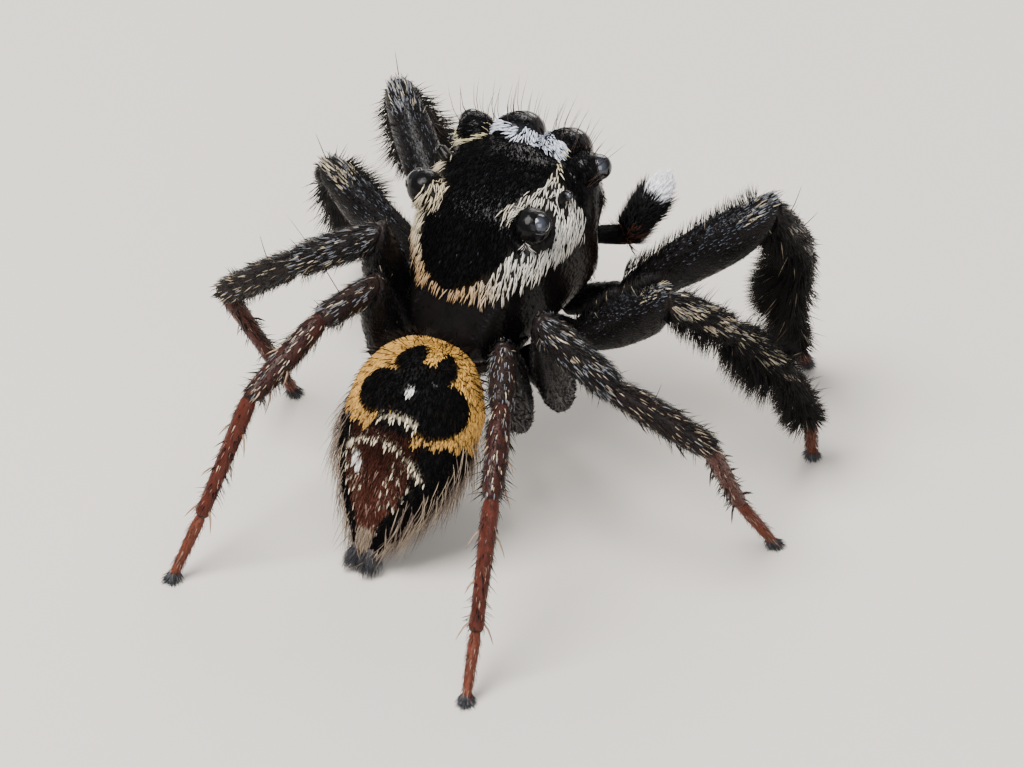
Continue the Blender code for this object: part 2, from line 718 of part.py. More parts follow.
def leg_locks(number, joint, start, end, body, radius):
    """All locks and spines of one leg joint."""
    locks = []
    if number < 3 and joint in LEG_FRINGES:
        shares, angles, lean, size = LEG_FRINGES[joint]
        for share in shares:
            for angle in angles:
                at = share + chance.uniform(-0.015, 0.015)
                root, outward, axis = limb_place(start, end, body, radius, at,
                                                 180 + angle + chance.uniform(-6, 6))
                slant = lean * (1.3 - share) + chance.uniform(-0.05, 0.05)
                locks.append((root, outward + axis * slant, axis, size, axis * 0.2))
    if number < 3 and joint == "femur":
        for share, angle in FEMUR_LOCKS:
            root, outward, axis = limb_place(start, end, body, radius * 1.1, share, angle)
            locks.append((root, outward + axis * 0.9, axis, "spine_small", axis * 0.2))
    if number > 2 and joint in LEG_SPINES:
        for share, angle, size in LEG_SPINES[joint]:
            root, outward, axis = limb_place(start, end, body, radius, share, angle)
            locks.append((root, outward + axis * SPINE_LEAN, axis, size, axis * 0.1))
    return locks


def make_leg(side, number):
    coxa, hip, *joints = leg_points(side, number)
    stem = f"leg_{side}_{number}_"
    starts = [hip] + joints[:-1]
    ways = [(end - start).normalized() for start, end in zip(starts, joints)]
    coxa_way = (hip - coxa).normalized()
    for i, joint in enumerate(JOINTS):
        start, end = starts[i], joints[i]
        before = coxa_way if i == 0 else ways[i - 1]
        start_cut = (before + ways[i]).normalized()
        end_cut = (ways[i] + ways[i + 1]).normalized() if i < 4 else ways[i]
        bm = bmesh.new()
        if joint == "femur":
            frame = frame_about(ways[0])
            turn = ways[0].rotation_difference(coxa_way)
            coxa_frame = tuple(turn @ vector for vector in frame)
            inner = tube_rings(coxa, hip, coxa_way, start_cut, COXA_RADIUS,
                               ((0.0, 0.9), (0.35, 1.0), (0.7, 0.9)),
                               start_gap=0, end_gap=0, frame=coxa_frame)
            outer = tube_rings(start, end, start_cut, end_cut, LEG_RADII[number][i],
                               JOINT_PROFILES[joint], JOINT_DEPTH[joint],
                               FEMUR_KEEL[number], start_gap=0)
            loft(bm, inner + outer)
        else:
            loft(bm, tube_rings(start, end, start_cut, end_cut, LEG_RADII[number][i],
                                JOINT_PROFILES[joint], JOINT_DEPTH[joint],
                                end_gap=0 if joint == "tarsus" else GAP / 2))
        piece = add_node(stem + joint, bm, start, LEG_COLOURS[joint], 0.55, spider)
        locks = leg_locks(number, joint, start, end, hip, LEG_RADII[number][i])
        if locks:
            grow(piece, locks, stem + joint + "_locks")
        if joint == "tarsus":
            fuse(piece, [lambda b: sphere(b, end, FOOT_PAD_RADIUS, 10, 6)], stem + "pad")
            bm = bmesh.new()
            bm.from_mesh(piece.data)
            bm.transform(Matrix.Translation(piece.location))
            flatten_below_floor(bm)
            bm.transform(Matrix.Translation(-piece.location))
            bm.to_mesh(piece.data)
            bm.free()


make_carapace()
make_eyes()
make_chelicerae()
make_sternum()
make_abdomen()
make_pedicel()
make_spinnerets()
make_palps()
for leg_side in ("right", "left"):
    for leg_number in (1, 2, 3, 4):
        make_leg(leg_side, leg_number)
bpy.data.collections.remove(cutters)
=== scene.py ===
"""Male jumping spider, Corythalia brevispina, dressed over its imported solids.

Sizes are in millimetres in the animal's own axes, right, forward and up, and are
turned to metres on the way into a mesh. The animal faces -Y and stands on z = 0.
"""

import bpy
import numpy as np
from mathutils import Matrix


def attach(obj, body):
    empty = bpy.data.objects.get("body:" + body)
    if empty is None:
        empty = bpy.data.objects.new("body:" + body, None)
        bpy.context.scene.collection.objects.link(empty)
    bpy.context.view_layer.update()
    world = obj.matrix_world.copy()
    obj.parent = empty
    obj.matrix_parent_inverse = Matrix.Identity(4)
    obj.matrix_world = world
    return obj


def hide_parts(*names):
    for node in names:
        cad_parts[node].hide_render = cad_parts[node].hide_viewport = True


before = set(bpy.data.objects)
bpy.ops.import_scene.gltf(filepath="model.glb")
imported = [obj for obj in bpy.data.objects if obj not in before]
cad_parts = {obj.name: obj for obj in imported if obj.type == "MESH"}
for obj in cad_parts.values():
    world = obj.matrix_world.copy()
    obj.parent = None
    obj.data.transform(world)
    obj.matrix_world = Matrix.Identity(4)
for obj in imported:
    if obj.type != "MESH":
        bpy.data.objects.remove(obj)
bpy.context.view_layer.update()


# Carapace: the high, boxy shield over head and thorax, one piece of hard black skin.
# It swells into four mounds on each side that carry the eyes, and its flanks are
# bare and glossy below a ring of pale scales.
MM = 0.001
UP = np.array([0.0, 0.0, 1.0])
SIDES = {"right": 1, "left": -1}
HEAD_PLACE = np.array([-0.19, 0.08, 2.83])      # midway between the two rear eyes
NOSE_UP = 14
RIGHT_SIDE_UP = 2
# forward, half width, top, bottom, squareness of the section
CARAPACE_STATIONS = (
    (-0.970, 0.02, -1.00, -1.04, 2.2),
    (-0.955, 0.19, -0.93, -1.12, 2.3),
    (-0.92, 0.31, -0.86, -1.20, 2.4),
    (-0.80, 0.43, -0.74, -1.29, 2.6),
    (-0.62, 0.54, -0.56, -1.34, 2.8),
    (-0.38, 0.64, -0.30, -1.36, 3.0),
    (-0.15, 0.72, -0.07, -1.36, 3.2),
    (0.10, 0.77, 0.04, -1.36, 3.4),
    (0.35, 0.80, 0.07, -1.36, 3.4),
    (0.55, 0.81, 0.06, -1.34, 3.2),
    (0.67, 0.80, 0.04, -0.88, 3.2),
    (0.82, 0.77, 0.00, -0.72, 3.0),
    (0.96, 0.68, -0.07, -0.68, 2.8),
    (1.03, 0.56, -0.14, -0.62, 2.6),
    (1.048, 0.35, -0.25, -0.52, 2.3),
    (1.052, 0.02, -0.37, -0.39, 2.2),
)
# place of the lens, its radius, middle of its mound, radius of the mound
EYE_PLACES = {
    "front_middle": ((0.265, 1.10, -0.20), 0.215, (0.265, 0.99, -0.17), 0.250),
    "front_side": ((0.72, 0.93, -0.08), 0.125, (0.62, 0.86, -0.09), 0.178),
    "small": ((0.735, 0.43, 0.01), 0.040, (0.70, 0.43, 0.0), 0.058),
    "rear": ((0.68, 0.0, 0.0), 0.115, (0.60, -0.01, -0.04), 0.178),
}
REAR_EYE_AIM = (0.545, -0.314, 0.838)       # the way the right rear eye looks
VELVET_BLACK = (0.0035, 0.0032, 0.0035)
SHELL_BLACK = (0.0055, 0.0045, 0.0045)
# Brown of the painted reflection on the carapace's bare flank, not a colour of the shell.
PAINTED_GLOSS_BROWN = (0.040, 0.018, 0.010)


def to_world(places):
    """Animal's right, forward, up in mm to metres: x = -right, y = -forward, z = up."""
    return np.asarray(places) * np.array([-MM, -MM, MM])


def unit(vectors):
    """Each vector divided by its own length."""
    length = np.linalg.norm(vectors, axis=-1, keepdims=True)
    return vectors / np.maximum(length, 1e-12)


def head_turn():
    """The head's axes as columns: nose up about the right axis, then a small roll."""
    n, r = np.radians(NOSE_UP), np.radians(-RIGHT_SIDE_UP)
    pitch = np.array([[1, 0, 0], [0, np.cos(n), -np.sin(n)], [0, np.sin(n), np.cos(n)]])
    roll = np.array([[np.cos(r), 0, np.sin(r)], [0, 1, 0], [-np.sin(r), 0, np.cos(r)]])
    return pitch @ roll


HEAD_TURN = head_turn()


def from_head(places):
    """Head's out, forward, up to the animal's axes: turn, then add the head's place."""
    return np.asarray(places, float) @ HEAD_TURN.T + HEAD_PLACE


def smooth_through(places, table):
    """Values on a smooth curve through a table's rows, first column the place.

    Cubic pieces; the slope at a row is the harmonic mean of the slopes beside it,
    or zero where those differ in sign, so the curve never overshoots a row.
    """
    table = np.asarray(table, float)
    x, y = table[:, 0], table[:, 1:]
    step = np.diff(x)[:, None]
    rise = np.diff(y, axis=0) / step
    both = rise[:-1] * rise[1:]
    total = rise[:-1] + rise[1:]
    inner = np.where(both > 0, 2 * both / np.where(total == 0, 1, total), 0)
    slope = np.vstack([rise[:1], inner, rise[-1:]])
    places = np.clip(places, x[0], x[-1])
    i = np.clip(np.searchsorted(x, places, side="right") - 1, 0, len(x) - 2)
    h = step[i]
    t = ((places - x[i]) / h[..., 0])[..., None]
    return ((2 * t**3 - 3 * t**2 + 1) * y[i] + (t**3 - 2 * t**2 + t) * h * slope[i]
            + (3 * t**2 - 2 * t**3) * y[i + 1] + (t**3 - t**2) * h * slope[i + 1])


def on_side(place, sign):
    """A place or way of the right side, mirrored to the left where the sign is -1."""
    return np.array(place) * [sign, 1, 1]


def circle(sides):
    """Cosines and sines of a whole turn in equal steps, the first repeated at the end."""
    turn = np.linspace(0, 2 * np.pi, sides + 1)[None, :]
    return np.cos(turn), np.sin(turn)


def crowded(count, pull):
    """Shares from 0 to 1 that crowd to both ends: t - pull sin(2 pi t) / (2 pi)."""
    t = np.linspace(0, 1, count)
    return t - np.sin(2 * np.pi * t) / (2 * np.pi) * pull


def ramp(value, low, high):
    """Smooth step from 0 at low to 1 at high: 3t^2 - 2t^3."""
    t = np.clip((value - low) / (high - low), 0, 1)
    return t * t * (3 - 2 * t)


def carapace_grid(rows=150, sides=168):
    """Rounded-square sections along the head, pushed out over the eye mounds.

    A section is x = w cos^(2/p), z = m + h sin^(2/p). Each mound is a ball: a point
    inside it moves out along its own normal as far as the ball's surface.
    """
    ends = np.array(CARAPACE_STATIONS)[[0, -1], 0]
    forward = ends[0] + (ends[1] - ends[0]) * crowded(rows, 0.8)
    width, top, bottom, power = smooth_through(forward, CARAPACE_STATIONS).T[:, :, None]
    c, s = circle(sides)
    x = width * np.sign(c) * np.abs(c) ** (2 / power)
    z = (top + bottom) / 2 + (top - bottom) / 2 * np.sign(s) * np.abs(s) ** (2 / power)
    grid = np.stack([x, np.broadcast_to(forward[:, None], x.shape), z], -1)
    out = grid_normals(grid)
    for _lens, _radius, mound, mound_radius in EYE_PLACES.values():
        for sign in SIDES.values():
            away = grid - on_side(mound, sign)
            b = (out * away).sum(-1)
            under = b * b - (away * away).sum(-1) + mound_radius**2
            push = np.sqrt(np.maximum(under, 0)) - b
            push = np.where(under > 0, np.maximum(push, 0), 0)
            soft = ramp(under, 0, (0.35 * mound_radius) ** 2)
            grid = grid + out * (push * soft)[..., None]
    return grid


def grid_normals(grid):
    """Unit normals of a grid closed round its second way: along cross around."""
    along = np.gradient(grid, axis=0)
    body = grid[:, :-1]
    around = np.roll(body, -1, axis=1) - np.roll(body, 1, axis=1)
    around = np.concatenate([around, around[:, :1]], 1)
    return unit(np.cross(along, around))


def skin_piece(name, grid, shade, finish):
    """One closed skin: quads over the grid, a fan to a pole point at each end.

    The grid is in the animal's axes, closed round its second way with the first
    column repeated as the last; shade is a colour for each grid point.
    """
    rows, columns = grid.shape[0], grid.shape[1] - 1
    points = np.concatenate([grid[:, :-1].reshape(-1, 3),
                             [grid[0, :-1].mean(0)], [grid[-1, :-1].mean(0)]])
    colour = np.concatenate([shade[:, :-1].reshape(-1, 3),
                             [shade[0, :-1].mean(0)], [shade[-1, :-1].mean(0)]])
    i, j = np.meshgrid(np.arange(rows - 1), np.arange(columns), indexing="ij")
    k = (j + 1) % columns
    quads = np.stack([i * columns + j, (i + 1) * columns + j,
                      (i + 1) * columns + k, i * columns + k], -1).reshape(-1, 4)
    j = np.arange(columns)
    k = (j + 1) % columns
    low = np.stack([np.full(columns, rows * columns), j, k], -1)
    last = (rows - 1) * columns
    high = np.stack([np.full(columns, rows * columns + 1), last + k, last + j], -1)
    corners = np.concatenate([quads.ravel(), low.ravel(), high.ravel()])
    counts = np.concatenate([np.full(len(quads), 4), np.full(2 * columns, 3)])
    return mesh_piece(name, points, corners, counts, colour, finish)


def mesh_piece(name, points, corners, counts, colour, finish, patches=None):
    """A mesh object from arrays, smooth, coloured by point, at the origin."""
    mesh = bpy.data.meshes.new(name)
    mesh.vertices.add(len(points))
    mesh.vertices.foreach_set("co", to_world(points).astype(np.float32).ravel())
    mesh.loops.add(len(corners))
    mesh.loops.foreach_set("vertex_index", corners.astype(np.int32))
    mesh.polygons.add(len(counts))
    starts = np.concatenate([[0], np.cumsum(counts)[:-1]])
    mesh.polygons.foreach_set("loop_start", starts.astype(np.int32))
    mesh.polygons.foreach_set("use_smooth", np.ones(len(counts), bool))
    shade = mesh.attributes.new("shade", "FLOAT_COLOR", "POINT")
    shade.data.foreach_set("color", np.concatenate(
        [colour, np.ones((len(points), 1))], 1).astype(np.float32).ravel())
    if patches is not None:
        layer = mesh.uv_layers.new(name="OFBake")
        layer.uv.foreach_set("vector", patches[corners].astype(np.float32).ravel())
    mesh.update(calc_edges=True)
    mesh.validate()
    mesh.materials.append(finish)
    piece = bpy.data.objects.new(name, mesh)
    bpy.context.scene.collection.objects.link(piece)
    return piece


def mottled_finish(name, grain, detail, least, most):
    """A material whose colour is the point colour times fine noise, least to most."""
    finish = bpy.data.materials.new(name)
    finish.use_nodes = True
    nodes, links = finish.node_tree.nodes, finish.node_tree.links
    shader = nodes["Principled BSDF"]
    shade = nodes.new("ShaderNodeAttribute")
    shade.attribute_name = "shade"
    place = nodes.new("ShaderNodeTexCoord")
    noise = nodes.new("ShaderNodeTexNoise")
    noise.inputs["Scale"].default_value = grain
    noise.inputs["Detail"].default_value = detail
    links.new(place.outputs["Object"], noise.inputs["Vector"])
    strength = nodes.new("ShaderNodeMapRange")
    strength.inputs["To Min"].default_value = least
    strength.inputs["To Max"].default_value = most
    links.new(noise.outputs["Fac"], strength.inputs["Value"])
    mix = nodes.new("ShaderNodeMix")
    mix.data_type = "RGBA"
    mix.blend_type = "MULTIPLY"
    mix.inputs["Factor"].default_value = 1
    links.new(shade.outputs["Color"], mix.inputs["A"])
    links.new(strength.outputs["Result"], mix.inputs["B"])
    links.new(mix.outputs["Result"], shader.inputs["Base Color"])
    return finish, shader, place


def shell_finish(name, roughness, coat, grain, depth):
    """Hard skin: the point colours, mottled a little, with fine wrinkles as bump."""
    finish, shader, place = mottled_finish(name, grain, 6, 0.55, 1.45)
    nodes, links = finish.node_tree.nodes, finish.node_tree.links
    wrinkle = nodes.new("ShaderNodeTexVoronoi")
    wrinkle.inputs["Scale"].default_value = grain * 3
    links.new(place.outputs["Object"], wrinkle.inputs["Vector"])
    bump = nodes.new("ShaderNodeBump")
    bump.inputs["Strength"].default_value = depth
    bump.inputs["Distance"].default_value = 0.00001
    links.new(wrinkle.outputs["Distance"], bump.inputs["Height"])
    links.new(bump.outputs["Normal"], shader.inputs["Normal"])
    shader.inputs["Roughness"].default_value = roughness
    shader.inputs["Specular IOR Level"].default_value = 0.12
    shader.inputs["Coat Weight"].default_value = coat
    shader.inputs["Coat Roughness"].default_value = 0.12
    return finish


# forward, middle of the black top (to the right), its half width
TOP_OUTLINE = (
    (-0.62, -0.08, 0.0),
    (-0.56, -0.08, 0.17),
    (-0.45, -0.06, 0.34),
    (-0.30, -0.03, 0.455),
    (-0.20, -0.02, 0.475),
    (-0.13, -0.03, 0.42),
    (-0.05, -0.04, 0.33),
    (0.05, -0.04, 0.31),
    (0.20, -0.07, 0.41),
    (0.33, -0.08, 0.48),
    (0.50, -0.09, 0.53),
    (0.70, -0.10, 0.51),
    (0.80, -0.13, 0.43),
    (0.86, -0.13, 0.25),
    (0.88, -0.13, 0.0),
)
BARE_ROUND_EYE = {"front_middle": 0.03, "front_side": 0.05, "small": 0.06, "rear": 0.080}


def eye_distance(places, kind):
    """Distance of each place from the nearer lens of a pair."""
    lens = EYE_PLACES[kind][0]
    return np.sqrt((np.abs(places[..., 0]) - lens[0]) ** 2 + (places[..., 1] - lens[1]) ** 2
                   + (places[..., 2] - lens[2]) ** 2)


def rear_eye_gap(places):
    """Distance of each place from the line along which the nearer rear eye looks."""
    lens = EYE_PLACES["rear"][0]
    away = np.stack([np.abs(places[..., 0]), places[..., 1], places[..., 2]], -1) - lens
    along = (away @ np.array(REAR_EYE_AIM))[..., None]
    return np.linalg.norm(away - along * REAR_EYE_AIM, axis=-1)


def head_marks(places):
    """Shares of pale ring, black top and bare flank at places in the head's axes.

    The ring begins where the table's black top ends. It is a narrow line beside the
    front eyes, a band between them, and reaches down to a lower edge behind them;
    each eye keeps a bare black ring, and a black wedge reaches the right rear eye.
    """
    out, forward, up = places[..., 0], places[..., 1], places[..., 2]
    middle, half = np.moveaxis(smooth_through(forward, TOP_OUTLINE), -1, 0)
    beyond = np.abs(out - middle) - half
    low = -0.46 - 0.10 * (1 - ramp(forward, -0.62, -0.25)) + 0.37 * ramp(forward, 0.46, 0.70)
    ring = ramp(beyond, -0.015, 0.025) * ramp(up, low - 0.03, low + 0.03)
    reach = np.maximum(0.045 + 1.2 * (1 - ramp(forward, 0.44, 0.60)),
                       (0.49 - half) * ramp(forward, 0.78, 0.86))
    ring = ring * (1 - ramp(beyond, reach, reach + 0.03))
    brow = 1.07 - 0.13 * ramp(np.abs(out), 0.06, 0.20)
    ring = ring * (1 - ramp(forward, brow, brow + 0.04))
    for kind, bare in BARE_ROUND_EYE.items():
        bare = EYE_PLACES[kind][1] + bare
        ring = ring * ramp(eye_distance(places, kind), bare, bare + 0.025)
    mound = EYE_PLACES["front_side"][2]
    far = np.hypot(np.abs(out) - mound[0], forward - mound[1])
    ring = ring * ramp(far, 0.15, 0.18)
    wedge = ramp(out, 0.20, 0.30) * (1 - ramp(out, 0.56, 0.62))
    wedge = wedge * ramp(forward, -0.225, -0.195) * (1 - ramp(forward, -0.03, 0.0))
    ring = ring * (1 - wedge)
    behind = ramp(far, 0.165, 0.185) * (1 - ramp(far, 0.215, 0.235)) * (out < 0)
    behind = behind * ramp(up, -0.20, -0.12)
    ring = np.maximum(ring, behind * (1 - ramp(forward, mound[1] - 0.02, mound[1] + 0.03)))
    top = ramp(up, low - 0.05, low + 0.05) * (1 - ring)
    return ring, top, np.clip(1 - ring - top, 0, 1)


def ring_colour(places):
    """Bluish white in front, off-white on the right, cream on the left, tan low at the rear; the
    right side's lighter tone is painted light.
    """
    out, forward, up = places[..., 0], places[..., 1], places[..., 2]
    front = ramp(forward, 0.45, 0.85)[..., None]
    # Painted light: the right side is given lighter off-white scales, with less tan, than the cream
    # of the left side, though the scales are alike on both sides.
    right = ramp(out, 0.1, 0.6)[..., None]
    rear = ramp(-up, 0.28, 0.52)[..., None] * (1 - 0.7 * right)
    colour = np.array([0.60, 0.50, 0.34]) * (1 - right) + np.array([0.74, 0.70, 0.63]) * right
    colour = colour * (1 - rear) + np.array([0.42, 0.26, 0.12]) * rear
    bright = np.abs(out + 0.03)[..., None] < 0.38
    return colour * (1 - front) + np.where(bright, [0.74, 0.78, 0.90], [0.62, 0.54, 0.30]) * front


def carapace_shade(places):
    """The skin's own colour under the scales, the same marks in duller tones, and a painted brown
    reflection low on the front of the bare flank.
    """
    ring, top, flank = (share[..., None] for share in head_marks(places))
    # Painted reflection: a dark brown tint low and towards the front of the bare flank stands in for
    # the brownish gloss of the black skin.
    painted_gloss = ramp(places[..., 1], -0.2, 0.5)[..., None] * ramp(-places[..., 2], 0.3, 0.8)[..., None]
    bare = np.array(SHELL_BLACK) * (1 - painted_gloss) + np.array(PAINTED_GLOSS_BROWN) * 0.18 * painted_gloss
    return ring_colour(places) * 0.015 * ring + np.array(VELVET_BLACK) * top + bare * flank


head_skin = carapace_grid()
carapace = skin_piece("carapace_skin", from_head(head_skin), carapace_shade(head_skin),
                      shell_finish("glossy_black_shell", 0.22, 0.0, 9000, 0.25))
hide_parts("carapace")
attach(carapace, "root")


# Coat of the carapace: velvet of short black hair over the top, with a few fine blue-grey
# hairs in it and more towards the front as painted sheen, and a ring of long flat pale
# scales that lie back over the flanks.
# Each one is a thin tapered solid with its root sunk in the skin.
PATCH = 0.003           # size of a tuft's place on the bake map
HAIR = ((0.0, 1.0), (0.5, 0.75))
SCALE = ((0.0, 0.45), (0.42, 1.0), (0.78, 0.62))
LONG_HAIR = ((0.0, 1.0), (0.5, 0.8))


def scatter(grid, count, seed):
    """Random places on a grid, even by area: place, normal, way along, map place.

    Each is a bilinear mix of its cell's four corners; cells are drawn by area.
    """
    chance = np.random.default_rng(seed)
    a, b, c, d = grid[:-1, :-1], grid[1:, :-1], grid[1:, 1:], grid[:-1, 1:]
    area = np.linalg.norm(np.cross(c - a, d - b), axis=-1)
    cell = chance.choice(area.size, count, p=(area / area.sum()).ravel())
    i, j = np.unravel_index(cell, area.shape)
    s, t = chance.random((2, count, 1))
    a, b, c, d = a[i, j], b[i, j], c[i, j], d[i, j]
    place = (a * (1 - s) + b * s) * (1 - t) + (d * (1 - s) + c * s) * t
    along = unit((b - a) * (1 - t) + (c - d) * t)
    around = unit((d - a) * (1 - s) + (c - b) * s)
    spot = np.concatenate([(i[:, None] + s) / area.shape[0], (j[:, None] + t) / area.shape[1]], 1)
    return place, unit(np.cross(along, around)), along, spot


def tufts(name, finish, root, way, normal, length, width, colour, spot,
          outline=HAIR, flat=0.35, bend=-0.12, sunk=0.012, tip_shade=1.15):
    """Many hairs or scales as one mesh: three-cornered sections and a point.

    Middle line: root + way L t + normal L b t^2, its root sunk along the normal.
    The half width w/2 is scaled by the outline's share at t, the depth by flat too.
    """
    count = len(root)
    way, normal = unit(way), unit(normal)
    side = unit(np.cross(way, normal))
    rise = np.cross(side, way)
    length = np.broadcast_to(length, count)[:, None]
    width = np.broadcast_to(width, count)[:, None]
    rows = []
    for t, share in outline:
        middle = root + way * length * t + rise * length * (bend * t * t)
        if t == 0:
            middle = middle - normal * sunk
        for turn in (np.pi / 2, np.pi * 7 / 6, np.pi * 11 / 6):
            rows.append(middle + side * (width / 2 * share * np.cos(turn) * 1.15)
                        + rise * (width / 2 * share * flat * np.sin(turn)))
    rows.append(root + way * length + rise * length * bend)
    points = np.stack(rows, 1)
    each = points.shape[1]
    faces = [(0, 1, 2)]
    for ring in range(len(outline) - 1):
        for k in range(3):
            a, b = ring * 3 + k, ring * 3 + (k + 1) % 3
            faces += [(a, a + 3, b + 3), (a, b + 3, b)]
    last = (len(outline) - 1) * 3
    faces += [(last + k, each - 1, last + (k + 1) % 3) for k in range(3)]
    corners = (np.arange(count)[:, None, None] * each + np.array(faces)).ravel()
    tone = np.concatenate([np.full(3, 0.75), np.full(each - 4, 1.0), [tip_shade]])
    tint = np.asarray(colour)[:, None, :] * tone[None, :, None]
    reach = np.concatenate([np.repeat([t for t, _ in outline], 3), [1.0]]) - 0.5
    across = np.concatenate([np.tile([0.0, -0.5, 0.5], len(outline)), [0.0]])
    patch = np.asarray(spot)[:, None, :] + np.stack([reach, across], -1)[None] * PATCH
    return mesh_piece(name, points.reshape(-1, 3), corners,
                      np.full(count * len(faces), 3), tint.reshape(-1, 3), finish,
                      patch.reshape(-1, 2))


def head_tufts(name, finish, root, way, normal, *rest):
    """Tufts whose roots, ways and normals are given in the head's axes."""
    return tufts(name, finish, from_head(root), way @ HEAD_TURN.T, normal @ HEAD_TURN.T, *rest)


def coat_finish(name, roughness, shine):
    """Hair and scales: each tuft's own colour with soft gloss, streaked by fine noise."""
    finish, shader, _place = mottled_finish(name, 60000, 2, 0.75, 1.25)
    shader.inputs["Roughness"].default_value = roughness
    shader.inputs["Specular IOR Level"].default_value = shine
    return finish


def shaded(colour, chance, spread):
    """The colour for each tuft, made lighter or darker at random by up to the spread."""
    return colour * chance.uniform(1 - spread, 1 + spread, (len(colour), 1))


velvet_hair = coat_finish("velvet_black_hair", 0.9, 0.035)
pale_scales = coat_finish("pale_scales", 0.42, 0.5)
DENSITY = 1.0
CARAPACE_TUFTS = 52000
RING_SCALE_LENGTH = 0.140
RING_SCALE_WIDTH = 0.0128
VELVET_LENGTH = 0.080
VELVET_WIDTH = 0.010
FACE_HAIR_WIDTH = 0.0095
REAR_EYE_CLEAR = 0.178  # no scale lies nearer to the line that a rear eye looks along
HAIR_BLACK = (0.0035, 0.0032, 0.0036)


def head_flow(places, normal, chance, lift):
    """The lie of the coat: parted outward in the front band, back and down elsewhere."""
    out, forward = places[:, 0], places[:, 1]
    front = ramp(forward, 0.55, 0.85)[:, None]
    parted = np.clip((out + 0.13) / 0.12, -1, 1)
    outward = np.stack([parted, np.full(len(out), -0.55), np.zeros(len(out))], -1)
    back = np.stack([0.30 * out, np.full(len(out), -0.85), np.full(len(out), -0.55)], -1)
    way = outward * front + back * (1 - front) + chance.normal(0, 0.16, places.shape)
    way = unit(way - normal * (way * normal).sum(-1, keepdims=True))
    return unit(way + normal * lift)


def dress_head():
    """Scatter over the skin, keep each tuft by the marks' share at its place."""
    chance = np.random.default_rng(21)
    place, normal, _along, spot = scatter(head_skin, int(CARAPACE_TUFTS * DENSITY), 22)
    ring, top, flank = head_marks(place)
    dense = 0.235 + 0.31 * ramp(place[:, 1], 0.65, 0.85)
    keep = chance.random(len(place)) < ring * dense
    p, n, s = place[keep], normal[keep], spot[keep]
    size = chance.uniform(0.8, 1.2, len(p))
    near_eye = np.where(p[:, 1] > 0.7, 0.75, 1.0)
    way = head_flow(p, n, chance, chance.uniform(0.10, 0.42, (len(p), 1)))
    long = RING_SCALE_LENGTH * size * near_eye
    clear = np.ones(len(p), bool)
    for share in (0.0, 0.3, 0.6, 0.9):
        clear &= rear_eye_gap(p + way * (share * long)[:, None]) > REAR_EYE_CLEAR
    scales = head_tufts("carapace_scales", pale_scales, p[clear], way[clear], n[clear],
                        long[clear], (RING_SCALE_WIDTH * size)[clear],
                        shaded(ring_colour(p[clear]), chance, 0.28), s[clear], SCALE, 0.35, -0.10)
    keep = (chance.random(len(place)) < top) & (place[:, 2] > -0.75)
    keep = keep & (chance.random(len(place)) < 0.8)
    p, n, s = place[keep], normal[keep], spot[keep]
    bare = np.ones(len(p), bool)
    for kind, margin in BARE_ROUND_EYE.items():
        bare &= eye_distance(p, kind) > EYE_PLACES[kind][1] + margin
    p, n, s = p[bare], n[bare], s[bare]
    # Painted sheen: a few blue-grey hairs lie all over the black top, and many more towards the
    # front, where they paint a bluish sheen on the velvet.
    blue = chance.random((len(p), 1)) < 0.005 + 0.12 * ramp(p[:, 1], 0.80, 0.95)[:, None]
    tint = np.where(blue, [0.040, 0.045, 0.058], HAIR_BLACK)
    short = 1 - 0.45 * ramp(p[:, 1], 0.70, 0.90)
    way = head_flow(p, n, chance, chance.uniform(0.12, 0.40, (len(p), 1)))
    hair = head_tufts("carapace_hair", velvet_hair, p, way, n,
                      VELVET_LENGTH * short * chance.uniform(0.7, 1.2, len(p)), VELVET_WIDTH,
                      shaded(tint, chance, 0.4), s)
    face = ramp(place[:, 1], 0.80, 0.95)
    lip = face * ramp(-place[:, 2], 0.42, 0.55)
    keep = chance.random(len(place)) < flank * (0.05 + 0.45 * face)
    for kind, margin in BARE_ROUND_EYE.items():
        keep &= eye_distance(place, kind) > EYE_PLACES[kind][1] + margin
    p, n, s, edge = place[keep], normal[keep], spot[keep], lip[keep]
    pale = chance.random((len(p), 1)) < 0.10 * face[keep][:, None] + 0.35 * edge[:, None]
    tint = np.where(pale, [0.42, 0.37, 0.31], [0.006, 0.005, 0.005])
    way = np.array([0.0, -0.25, -1.0]) + n * chance.uniform(0.25, 0.7, (len(p), 1))
    way = way + np.array([0.0, 0.3, 0.0]) * edge[:, None] + chance.normal(0, 0.12, p.shape)
    down = head_tufts("face_hair", velvet_hair, p, way, n,
                      (0.065 + 0.06 * edge) * chance.uniform(0.7, 1.2, len(p)), FACE_HAIR_WIDTH,
                      shaded(tint, chance, 0.35), s)
    return scales, hair, down


for piece in dress_head():
    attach(piece, "root")


# Bristles of the head: long, dark, curved hairs that stand up over the front eyes
# and beside them, a few behind. Each is stiff and springs from its own pit.
HEAD_BRISTLES = (
    # out, forward, up, leaning outward, leaning forward, length
    (0.03, 1.00, -0.06, 0.05, 0.5, 0.30),
    (0.10, 1.03, -0.04, 0.10, 0.9, 0.36),
    (0.17, 1.05, 0.00, 0.10, 0.6, 0.30),
    (0.24, 1.05, 0.04, 0.15, 0.7, 0.38),
    (0.31, 1.04, 0.04, 0.25, 0.8, 0.28),
    (0.38, 1.02, 0.01, 0.20, 0.8, 0.32),
    (0.45, 0.98, -0.03, 0.30, 0.6, 0.30),
    (0.50, 0.96, -0.02, 0.35, 0.7, 0.38),
    (0.56, 0.92, 0.03, 0.30, 0.5, 0.24),
    (0.63, 0.90, 0.07, 0.45, 0.6, 0.30),
    (0.70, 0.84, 0.07, 0.60, 0.5, 0.26),
    (0.75, 0.78, 0.02, 0.70, 0.4, 0.34),
    (0.79, 0.68, -0.02, 0.80, 0.2, 0.24),
    (0.80, 0.60, -0.04, 0.90, 0.1, 0.22),
    (0.30, 0.93, 0.04, 0.10, 0.4, 0.22),
    (0.48, 0.86, 0.02, 0.20, 0.4, 0.20),
)


